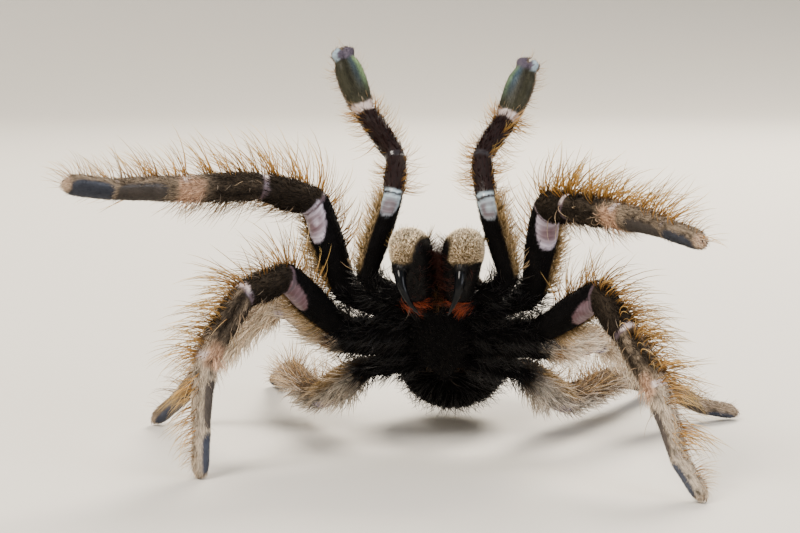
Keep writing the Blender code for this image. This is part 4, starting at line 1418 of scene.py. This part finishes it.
def hair_shade(node, given, draws):
    """How light each hair is: a draw of its own, times one that it shares with the hairs close to it."""
    where = node("GeometryNodeInputPosition")
    noise = node("ShaderNodeTexNoise", {}, {"Vector": where, "Scale": 1.0 / MOTTLE_PATCH, "Detail": 1.0})
    offset = node("ShaderNodeMath", {"operation": "SUBTRACT"}, {0: noise, 1: 0.5})
    mottle = node("ShaderNodeMath", {"operation": "MULTIPLY_ADD"}, {0: offset, 1: given["Mottle"], 2: 1.0})
    mottled = node("ShaderNodeMath", {"operation": "MAXIMUM"}, {0: mottle, 1: DARKEST_SHADE})
    drawn = node("ShaderNodeMath", {"operation": "ADD"}, {0: draws["Shade scatter"], 1: 1.0})
    return node("ShaderNodeMath", {"operation": "MULTIPLY"}, {0: drawn, 1: mottled})


def hair_tint(node, read):
    """The colour at each point of a hair, from its root's to its end's, lighter or darker by its shade."""
    grown = node("ShaderNodeMath", {"operation": "POWER"}, {0: read["grow"], 1: TIP_POWER})
    mixed = node(
        "ShaderNodeMix",
        {"data_type": "RGBA", "clamp_factor": True},
        {"Factor": grown, "A": read["hair_root"], "B": read["hair_tip"]},
    )
    return node("ShaderNodeVectorMath", {"operation": "SCALE"}, {"Vector": mixed, "Scale": read["shade"]})


def coat_tree():
    """Scatters hairs over the skin, tilts them along the lie of the coat and gives each its colours."""
    tree = bpy.data.node_groups.new("Coat of hair", "GeometryNodeTree")
    node = functools.partial(add, tree)
    tree.interface.new_socket("Geometry", in_out="OUTPUT", socket_type="NodeSocketGeometry")
    kinds = {"Geometry": "Geometry", "Hairs": "Collection", "Finish": "Material", "Seed": "Int"}
    kinds.update({name: "Float" for name in SCATTERS + ("Mottle",)})
    for name, kind in kinds.items():
        tree.interface.new_socket(name, in_out="INPUT", socket_type="NodeSocket" + kind)
    given = node("NodeGroupInput").outputs
    read = {
        name: node("GeometryNodeInputNamedAttribute", {"data_type": kind}, {"Name": name})
        for name, kind in COAT_ATTRIBUTES.items()
    }
    # Each scatter is a draw for every hair, from minus the amount given to plus the amount.
    draws = {}
    for index, name in enumerate(SCATTERS):
        low = node("ShaderNodeMath", {"operation": "MULTIPLY"}, {0: given[name], 1: -1.0})
        seed = node("ShaderNodeMath", {"operation": "ADD"}, {0: given["Seed"], 1: index + 1.0})
        limits = {"Min": low, "Max": given[name], "Seed": seed}
        draws[name] = node("FunctionNodeRandomValue", {"data_type": "FLOAT"}, limits)
    planted = planted_hairs(node, given, read, draws)
    shaded = node(
        "GeometryNodeStoreNamedAttribute",
        {"data_type": "FLOAT", "domain": "INSTANCE"},
        {"Geometry": planted, "Name": "shade", "Value": hair_shade(node, given, draws)},
    )
    solid = node("GeometryNodeRealizeInstances", {}, {"Geometry": shaded})
    coloured = node(
        "GeometryNodeStoreNamedAttribute",
        {"data_type": "FLOAT_COLOR", "domain": "POINT"},
        {"Geometry": solid, "Name": "tint", "Value": hair_tint(node, read)},
    )
    place = node("ShaderNodeVectorMath", {"operation": "ADD"}, {0: read["OFBake"], 1: read["coat_place"]})
    mapped = node(
        "GeometryNodeStoreNamedAttribute",
        {"data_type": "FLOAT2", "domain": "CORNER"},
        {"Geometry": coloured, "Name": "OFBake", "Value": place},
    )
    finished = node("GeometryNodeSetMaterial", {}, {"Geometry": mapped, "Material": given["Finish"]})
    node("NodeGroupOutput", {}, {"Geometry": finished})
    return tree


def finished_mesh(source, name):
    """A plain mesh object made from what an object's modifiers give."""
    bpy.context.view_layer.update()
    graph = bpy.context.evaluated_depsgraph_get()
    mesh = bpy.data.meshes.new_from_object(source.evaluated_get(graph))
    mesh.name = name
    piece = bpy.data.objects.new(name, mesh)
    bpy.context.scene.collection.objects.link(piece)
    return piece


def points_of(mesh):
    points = np.empty(len(mesh.vertices) * 3, dtype=np.float32)
    mesh.vertices.foreach_get("co", points)
    return points.reshape(-1, 3)


def press_on_floor(mesh):
    """Flattens what lies lower than the pressed height, so that nothing passes through the floor."""
    points = points_of(mesh)
    low = np.minimum(points[:, 2] / MM, PRESSED_HEIGHT)
    pressed = PRESSED_HEIGHT * np.exp((low - PRESSED_HEIGHT) / PRESSED_HEIGHT) * MM
    points[:, 2] = np.where(low < PRESSED_HEIGHT, pressed, points[:, 2])
    mesh.vertices.foreach_set("co", points.ravel())


def discard(*objects):
    for old in objects:
        data = old.data
        bpy.data.objects.remove(old, do_unlink=True)
        bpy.data.meshes.remove(data)


def plain_piece(name, corners, faces, material):
    """A smooth closed mesh from points in millimetres."""
    mesh = bpy.data.meshes.new(name)
    mesh.from_pydata((np.asarray(corners) * MM).tolist(), [], faces)
    mesh.materials.append(material)
    mesh.shade_smooth()
    piece = bpy.data.objects.new(name, mesh)
    bpy.context.scene.collection.objects.link(piece)
    return piece


def joined(surfaces):
    """The corners and faces of several surfaces as one list each."""
    corners, faces, count = [], [], 0
    for surface in surfaces:
        corners.append(surface.corners())
        faces += [tuple(index + count for index in face) for face in surface.faces()]
        count += len(corners[-1])
    return np.concatenate(corners), faces


# ---------------------------------------------------------------- finishes


def new_material(name):
    """A material, and the function that adds nodes to its empty tree."""
    material = bpy.data.materials.new(name)
    material.use_nodes = True
    material.node_tree.nodes.clear()
    return material, functools.partial(add, material.node_tree)


def skin_material():
    """Chitin under short nap: dull and streaked along the limb, smoother and creased on bare membranes."""
    material, node = new_material("chitin_under_nap")
    tint = node("ShaderNodeAttribute", {"attribute_name": "tint"})
    marks = node("ShaderNodeAttribute", {"attribute_name": "marks"})
    wrinkle, nap, gloss = node("ShaderNodeSeparateColor", {}, {"Color": marks}).outputs[:3]
    place = node("ShaderNodeAttribute", {"attribute_name": "nap_place"}).outputs["Vector"]
    # The nap place is in millimetres along and around; a hair is about 0.15 mm wide and 1.2 mm long.
    combed = node("ShaderNodeMapping", {}, {"Vector": place, "Scale": (0.8, 6.5, 6.5)})
    streaks = node(
        "ShaderNodeTexNoise", {}, {"Vector": combed, "Scale": 1.0, "Detail": 3.0, "Roughness": 0.6}
    )
    # Creases of the membranes are about 0.6 mm apart and wander round the joint; their thin crests are
    # painted lighter as a painted highlight, and the hollows a little darker as painted shade.
    creases = node(
        "ShaderNodeTexWave",
        {"wave_type": "BANDS", "bands_direction": "X"},
        {"Vector": place, "Scale": 0.42, "Distortion": 8.0, "Detail": 3.0, "Detail Scale": 0.6},
    ).outputs["Fac"]
    deep = node("ShaderNodeMapRange", {}, {"Value": streaks, 1: 0.35, 2: 0.65, 3: 0.45, 4: 1.25})
    # Painted highlight on the crests, up to a quarter lighter, and painted shade in the hollows, a twentieth
    # darker.
    pale = node("ShaderNodeMapRange", {}, {"Value": creases, 1: 0.55, 2: 1.0, 3: 0.95, 4: 1.25})
    nap_shade = node("ShaderNodeMix", {"data_type": "FLOAT"}, {"Factor": nap, "A": 1.0, "B": deep})
    crease_shade = node("ShaderNodeMix", {"data_type": "FLOAT"}, {"Factor": wrinkle, "A": 1.0, "B": pale})
    shade = node("ShaderNodeMath", {"operation": "MULTIPLY"}, {0: nap_shade, 1: crease_shade})
    base = node(
        "ShaderNodeVectorMath", {"operation": "SCALE"}, {"Vector": tint.outputs["Color"], "Scale": shade}
    )
    rough = node("ShaderNodeMapRange", {}, {"Value": gloss, 1: 0.0, 2: 1.0, 3: 0.85, 4: 0.4})
    film = node("ShaderNodeMath", {"operation": "MULTIPLY"}, {0: gloss, 1: 0.6})
    nap_height = node("ShaderNodeMath", {"operation": "MULTIPLY"}, {0: streaks, 1: nap})
    crease_height = node("ShaderNodeMath", {"operation": "MULTIPLY"}, {0: creases, 1: wrinkle})
    # The creases are a third as deep as the nap.
    height = node("ShaderNodeMath", {"operation": "MULTIPLY_ADD"}, {0: crease_height, 1: 0.33, 2: nap_height})
    bump = node("ShaderNodeBump", {}, {"Height": height, "Strength": 0.8, "Distance": 0.00012})
    shader = node(
        "ShaderNodeBsdfPrincipled",
        {},
        {
            "Base Color": base,
            "Roughness": rough,
            "IOR": 1.54,
            "Normal": bump,
            "Specular IOR Level": 0.06,
            "Coat Weight": film,
            "Coat Roughness": 0.2,
            "Coat Normal": bump,
        },
    )
    node("ShaderNodeOutputMaterial", {}, {"Surface": shader})
    return material


def hair_material(name, roughness, specular):
    """Fine hair of chitin: its colour runs from root to end, and it shines a little along its length."""
    material, node = new_material(name)
    tint = node("ShaderNodeAttribute", {"attribute_name": "tint"}).outputs["Color"]
    shader = node(
        "ShaderNodeBsdfPrincipled",
        {},
        {"Base Color": tint, "Roughness": roughness, "IOR": 1.54, "Specular IOR Level": specular},
    )
    node("ShaderNodeOutputMaterial", {}, {"Surface": shader})
    return material


def horn_material(name, base_colour, grain_size, roughness, specular, coat_weight=0.0):
    """Polished horn: near black, with faint growth lines and pits of the grain's size in metres."""
    material, node = new_material(name)
    place = node("ShaderNodeTexCoord").outputs["Object"]
    noise = node(
        "ShaderNodeTexNoise",
        {},
        {"Vector": place, "Scale": 1.0 / grain_size, "Detail": 3.0, "Roughness": 0.55},
    )
    light = np.array(base_colour[:]) * 1.8
    warm = node(
        "ShaderNodeMix",
        {"data_type": "RGBA"},
        {"Factor": noise, "A": (*base_colour, 1.0), "B": (*light, 1.0)},
    )
    spread = {1: 0.3, 2: 0.7, 3: roughness * 0.7, 4: roughness * 1.3}
    rough = node("ShaderNodeMapRange", {}, {"Value": noise, **spread})
    bump = node("ShaderNodeBump", {}, {"Height": noise, "Strength": 0.25, "Distance": 0.00003})
    shader = node(
        "ShaderNodeBsdfPrincipled",
        {},
        {
            "Base Color": warm,
            "Roughness": rough,
            "IOR": 1.56,
            "Normal": bump,
            "Specular IOR Level": specular,
            "Coat Weight": coat_weight,
            "Coat Roughness": 0.05,
        },
    )
    node("ShaderNodeOutputMaterial", {}, {"Surface": shader})
    return material


def floor_material(base_colour):
    """Matt studio board: pale and even, with a grain too fine to show as more than softness."""
    material, node = new_material("matt_board")
    place = node("ShaderNodeTexCoord").outputs["Object"]
    noise = node("ShaderNodeTexNoise", {}, {"Vector": place, "Scale": 900.0, "Detail": 2.0})
    bump = node("ShaderNodeBump", {}, {"Height": noise, "Strength": 0.1, "Distance": 0.00005})
    board = {"Base Color": (*base_colour, 1.0), "Roughness": 0.85, "Normal": bump}
    node("ShaderNodeOutputMaterial", {}, {"Surface": node("ShaderNodeBsdfPrincipled", {}, board)})
    return material


# ---------------------------------------------------------------- operators


# The solids under the skin.
PALP_PIECES = [f"palp_{part}" for part in ("coxa_femur", "patella", "tibia", "tarsus")]
LEG_PIECES = [f"{leg}_{part}" for leg in LIMBS[1:] for part in ("coxa_femur", "patella", "tibia", "foot")]
FLESH = ["carapace", "sternum", "pedicel", "abdomen"]
for side in SIDES:
    FLESH += [f"{side}_{piece}" for piece in ("chelicera", "spinneret", *PALP_PIECES, *LEG_PIECES)]

SKIN = "skin"
FLOOR_CLEARANCE = 0.02


def mark_skin(mesh, colours):
    """Writes the skin's colours and its nap, and returns its markings."""
    points = points_of(mesh).astype(float) / MM
    points[:, 2] = np.maximum(points[:, 2], FLOOR_CLEARANCE)
    mesh.vertices.foreach_set("co", (points * MM).astype(np.float32).ravel())
    field = Field(all_surfaces(), points)
    marks = Markings(field, colours)
    on = field.on
    radius = field.girth / TAU
    nap_place = np.stack([field.along, radius * np.cos(field.turn), radius * np.sin(field.turn)], axis=1)
    # Each surface and side has streaks of its own.
    nap_place += 40.0 * field.group[:, None] + 500.0 * field.side[:, None]
    nap = (1.0 - marks.bare) * (1.0 - 0.7 * marks.sole) * (1.0 - 0.5 * marks.gold)
    gloss = 0.75 * marks.bare + np.where(on.palp, 0.08, 0.35) * marks.sole
    gloss = gloss + 0.25 * on.chelicera * (1.0 - marks.gold) + 0.4 * (on.palp & field.at.knee_and_shin)
    wrinkle = marks.membrane + marks.rings
    store(mesh, "tint", "FLOAT_COLOR", marks.tint)
    store(mesh, "marks", "FLOAT_COLOR", np.stack([wrinkle, nap, np.clip(gloss, 0.0, 1.0)], axis=1))
    store(mesh, "nap_place", "FLOAT_VECTOR", nap_place)
    store(mesh, "lie", "FLOAT_VECTOR", field.lie)
    return marks


class TARANTULA_OT_skin(bpy.types.Operator):
    """Draws one closed skin over every piece of flesh"""

    bl_idname = "tarantula.skin"
    bl_label = "Skin"

    def execute(self, context):
        scene = context.scene
        rough = plain_piece("rough_skin", *joined(all_surfaces()), skin_material())
        remesh = rough.modifiers.new("One skin", "REMESH")
        remesh.mode = "VOXEL"
        remesh.voxel_size = scene.tarantula_coat.voxel
        remesh.use_smooth_shade = True
        even = rough.modifiers.new("Even", "SMOOTH")
        even.factor = 0.5
        even.iterations = 2
        skin = finished_mesh(rough, SKIN)
        discard(rough)
        mark_skin(skin.data, scene.tarantula_colours)
        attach(skin, BODY)
        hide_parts(*FLESH)
        return {"FINISHED"}


def coat_values(marks, coat, index, kind):
    """What the coat's tree reads from the skin for one piece of the coat."""
    field = marks.field
    density, length, lift, root, tip = kind.rule(marks, coat)
    member = np.isin(field.group, [GROUPS.index(group) for group in kind.groups])
    sway = (2.0 * grain(field.points, SWAY_PATCH, 30 + index) - 1.0) * LIE_SWAY[kind.finish]
    room = field.points[:, 2] / (1.0 + LENGTH_SCATTER) + FLOOR_SPARE
    return {
        "lie": unit(field.lie + field.wrap * sway[:, None]),
        "hair_density": density * member / (MM * MM),
        "hair_length": np.minimum(length, room) * MM,
        "hair_lift": np.radians(lift),
        "hair_root": root,
        "hair_tip": tip,
    }


def coat_piece(bed, tree, name, kind, finish, seed):
    """Grows one piece of the coat on the bed, as a plain mesh."""
    hairs = bpy.data.collections.new("hairs")
    for variant, (bow, curl) in enumerate(VARIANTS):
        hairs.objects.link(hair_mesh(f"hair_{variant}", kind.hair, bow, curl))
    given = {
        "Hairs": hairs,
        "Finish": finish,
        "Seed": seed,
        "Tilt scatter": math.radians(kind.scatter.tilt),
        "Twist scatter": math.radians(kind.scatter.twist),
        "Length scatter": LENGTH_SCATTER,
        "Shade scatter": kind.scatter.shade,
        "Mottle": MOTTLE_OF_PIECE.get(name, MOTTLE),
    }
    modifier = bed.modifiers.new("Coat", "NODES")
    modifier.node_group = tree
    for item in tree.interface.items_tree:
        if item.in_out == "INPUT" and item.name in given:
            modifier[item.identifier] = given[item.name]
    piece = finished_mesh(bed, name)
    press_on_floor(piece.data)
    bed.modifiers.remove(modifier)
    discard(*hairs.objects)
    bpy.data.collections.remove(hairs)
    for extra in [each.name for each in piece.data.attributes if each.name in SPENT_ATTRIBUTES]:
        piece.data.attributes.remove(piece.data.attributes[extra])
    return piece


class TARANTULA_OT_coat(bpy.types.Operator):
    """Grows the coat over the skin, in pieces by kind of hair and part of the body"""

    bl_idname = "tarantula.coat"
    bl_label = "Coat"

    def execute(self, context):
        coat, colours = context.scene.tarantula_coat, context.scene.tarantula_colours
        bed = bpy.data.objects.new("coat_bed", bpy.data.objects[SKIN].data.copy())
        context.scene.collection.objects.link(bed)
        marks = mark_skin(bed.data, colours)
        layer = bed.data.uv_layers.new(name="coat_place")
        layer.data.foreach_set("uv", marks.field.atlas(bed.data).astype(np.float32).ravel())
        finishes = {
            "pile": hair_material("short_hair", roughness=0.75, specular=0.04),
            "bristle": hair_material("long_bristle", roughness=0.5, specular=0.2),
        }
        tree = coat_tree()
        for index, (name, kind) in enumerate(COAT_PIECES.items()):
            for attribute, values in coat_values(marks, coat, index, kind).items():
                store(bed.data, attribute, COAT_ATTRIBUTES[attribute], values)
            piece = coat_piece(bed, tree, name, kind, finishes[kind.finish], coat.seed + 10 * index)
            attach(piece, BODY)
        discard(bed)
        return {"FINISHED"}


def sweep(centres, radii, round_points):
    """Rings of round section along a line of centres, closed by a fan at each end."""
    axis = unit(np.gradient(centres, axis=0))
    wide = unit(np.cross(axis, FORWARD))
    rim = ring_of(wide, np.cross(axis, wide), round_points)
    share = np.linspace(0.0, 1.0, len(centres))
    return Surface("pedicel", 0, centres[:, None, :] + rim * radii[:, None, None], share, share)


def hook(root, bend, tip, steps):
    share = np.linspace(0.0, 1.0, steps)[:, None]
    return blend(blend(root, bend, share), blend(bend, tip, share), share)


class TARANTULA_OT_fangs(bpy.types.Operator):
    """Makes the two curved fangs"""

    bl_idname = "tarantula.fangs"
    bl_label = "Fangs"

    def execute(self, context):
        black = context.scene.tarantula_colours.horn
        horn = horn_material("fang_horn", black, grain_size=0.0012, roughness=0.1, specular=0.1)
        # The fang tapers a little faster near its point, and flares where it leaves its socket.
        share = np.linspace(0.0, 1.0, FANG_STEPS)
        radii = blend(FANG_ROOT_RADIUS, FANG_TIP_RADIUS, share**1.15)
        radii = radii * (1.0 + 0.06 * np.exp(-((share / 0.06) ** 2)))
        radii[-1] *= 0.4
        for side in SIDES:
            root, bend, tip = on_side(side, FANG_ROOT[side], FANG_BEND[side], FANG_TIP[side])
            line = hook(root - unit(bend - root) * FANG_SUNK, bend, tip, FANG_STEPS)
            fang = plain_piece(f"{side}_fang_horn", *joined([sweep(line, radii, 28)]), horn)
            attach(fang, BODY)
            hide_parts(f"{side}_fang")
        return {"FINISHED"}


class TARANTULA_OT_eyes(bpy.types.Operator):
    """Makes the eight domed eyes on their tubercle"""

    bl_idname = "tarantula.eyes"
    bl_label = "Eyes"

    def execute(self, context):
        black = context.scene.tarantula_colours.horn
        glass = horn_material(
            "eye_lens", black, grain_size=0.0008, roughness=0.06, specular=0.3, coat_weight=0.25
        )
        height = np.cos(np.linspace(0.04, math.pi - 0.04, 17))
        breadth = np.sqrt(1.0 - height**2)
        dome = DORSAL * height[:, None, None] + ring_of(LEFT, FORWARD, 24) * breadth[:, None, None]
        domes = []
        for side in SIDES:
            for out, ahead, radius in EYES.values():
                forward = EYE_TUBERCLE_FORWARD + ahead
                lift = CARAPACE_MARGIN + carapace_lift(forward, out)
                (centre,) = on_side(side, (forward, out, lift + 0.25 * radius))
                domes.append(Surface("pedicel", 0, centre + radius * dome, height, height))
        eyes = plain_piece("eyes", *joined(domes), glass)
        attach(eyes, BODY)
        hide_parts(*(f"{side}_eye_{name}" for side in SIDES for name in EYES))
        return {"FINISHED"}


class TARANTULA_OT_claws(bpy.types.Operator):
    """Makes the small claws between the tufts of each foot"""

    bl_idname = "tarantula.claws"
    bl_label = "Claws"

    def execute(self, context):
        brown = context.scene.tarantula_colours.claw
        horn = horn_material("claw_horn", brown, grain_size=0.0008, roughness=0.3, specular=0.4)
        hooks = []
        for side, kind in itertools.product(SIDES, LIMBS):
            last = limb_lengths(kind, side)[-1]
            axis, dorsal = last["axis"], last["dorsal"]
            across = np.cross(axis, dorsal)
            # A leg has a pair of claws, and a palp a single one that lies further back.
            for way in (-1.0, 1.0) if kind != "palp" else (0.0,):
                end = last["end"] - axis * (1.4 if kind == "palp" else 0.0)
                root, bend, tip = (
                    end + axis * ahead + dorsal * lift + across * apart * way for ahead, lift, apart in CLAW
                )
                radii = np.linspace(*CLAW_RADII, CLAW_STEPS)
                hooks.append(sweep(hook(root, bend, tip, CLAW_STEPS), radii, 8))
        claws = plain_piece("claws", *joined(hooks), horn)
        press_on_floor(claws.data)
        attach(claws, BODY)
        return {"FINISHED"}


# The camera looks from a little above the floor and to the spider's left, at the middle of its span.
CAMERA_PLACE = vec(27.68, -315.72, 66.93) + BODY_PLACE
CAMERA_TARGET = vec(-5.52, 0.15, 27.93) + BODY_PLACE
# The soft lights, all turned to the same place: where each hangs and its width, in metres, its share of the
# main light's power, and its colour.
LIGHT_TARGET = Vector((0.0, 0.0, 0.025))
LIGHTS = {
    "key": ((-0.42, -0.65, 0.84), 0.5, 1.0, "#fff6ea"),
    "fill": ((0.8, -0.5, 0.36), 0.6, 0.35, "#eef3ff"),
    "back": ((0.18, 0.68, 0.62), 0.45, 0.9, "#fff4e4"),
}
SKY_COLOUR = "#eef0f2"


def studio_floor(reach):
    """A level floor that curves up into a low wall all round, so that no edge shows behind the spider."""
    bend = np.linspace(0.0, 0.5 * math.pi, 24)
    curve, wall, round_points = 0.6 * reach, 1.3 * reach, 96
    level = np.linspace(0.02, 0.95, 12) * reach
    radius = np.concatenate([level, reach + curve * np.sin(bend), [reach + curve]])
    height = np.concatenate([0.0 * level, curve * (1.0 - np.cos(bend)), [wall]])
    rim = ring_of(LEFT, BACK, round_points)
    corners = (radius[:, None, None] * rim + UP * height[:, None, None]).reshape(-1, 3)
    rows = np.arange(len(corners)).reshape(-1, round_points)
    ring = np.roll(rows, -1, axis=1)
    quads = np.stack([rows[:-1], rows[1:], ring[1:], ring[:-1]], axis=-1).reshape(-1, 4)
    return corners, quads.tolist() + [tuple(int(corner) for corner in rows[0])]


def place_facing(name, data, place, target):
    """Adds a lamp or a camera that looks from one place at another."""
    item = bpy.data.objects.new(name, data)
    item.location = place
    item.rotation_euler = (target - place).to_track_quat("-Z", "Y").to_euler()
    bpy.context.scene.collection.objects.link(item)
    return item


class TARANTULA_OT_stage(bpy.types.Operator):
    """Sets the floor, the soft lights and the camera"""

    bl_idname = "tarantula.stage"
    bl_label = "Stage"

    def execute(self, context):
        stage = context.scene.tarantula_stage
        board = floor_material(context.scene.tarantula_colours.floor)
        plain_piece("floor", *studio_floor(stage.floor_reach / MM), board)
        for name, (place, width, share, shade) in LIGHTS.items():
            lamp = bpy.data.lights.new(name, "AREA")
            lamp.shape = "DISK"
            lamp.size = width
            lamp.energy = stage.key_power * share
            lamp.color = linear(shade)
            place_facing(name, lamp, Vector(place), LIGHT_TARGET)
        world = bpy.data.worlds.new("studio")
        world.use_nodes = True
        sky = world.node_tree.nodes["Background"].inputs
        sky["Color"].default_value = (*linear(SKY_COLOUR), 1.0)
        sky["Strength"].default_value = stage.sky
        context.scene.world = world
        lens = bpy.data.cameras.new("camera")
        lens.lens = stage.lens
        lens.clip_start = 0.01
        camera = place_facing("camera", lens, Vector(CAMERA_PLACE * MM), Vector(CAMERA_TARGET * MM))
        context.scene.camera = camera
        return {"FINISHED"}


class TARANTULA_PT_panel(bpy.types.Panel):
    """Lists the pieces in the order in which they are made"""

    bl_label = "Tarantula"
    bl_idname = "TARANTULA_PT_panel"
    bl_space_type = "VIEW_3D"
    bl_region_type = "UI"
    bl_category = "Tarantula"

    def draw(self, context):
        for operator in OPERATORS:
            self.layout.operator(operator.bl_idname)
        scene = context.scene
        for group in (scene.tarantula_coat, scene.tarantula_colours, scene.tarantula_stage):
            for name in group.__annotations__:
                self.layout.prop(group, name)


OPERATORS = (
    TARANTULA_OT_skin,
    TARANTULA_OT_coat,
    TARANTULA_OT_fangs,
    TARANTULA_OT_eyes,
    TARANTULA_OT_claws,
    TARANTULA_OT_stage,
)
SETTINGS = {
    "tarantula_colours": TarantulaColours,
    "tarantula_coat": TarantulaCoat,
    "tarantula_stage": TarantulaStage,
}


def register():
    for group in SETTINGS.values():
        bpy.utils.register_class(group)
    for name, group in SETTINGS.items():
        setattr(bpy.types.Scene, name, bpy.props.PointerProperty(type=group))
    for operator in OPERATORS:
        bpy.utils.register_class(operator)
    bpy.utils.register_class(TARANTULA_PT_panel)


def unregister():
    bpy.utils.unregister_class(TARANTULA_PT_panel)
    for operator in reversed(OPERATORS):
        bpy.utils.unregister_class(operator)
    for name, group in SETTINGS.items():
        delattr(bpy.types.Scene, name)
        bpy.utils.unregister_class(group)


def main():
    register()
    bpy.ops.tarantula.skin()
    bpy.ops.tarantula.coat()
    bpy.ops.tarantula.fangs()
    bpy.ops.tarantula.eyes()
    bpy.ops.tarantula.claws()
    bpy.ops.tarantula.stage()


if __name__ == "__main__":
    main()
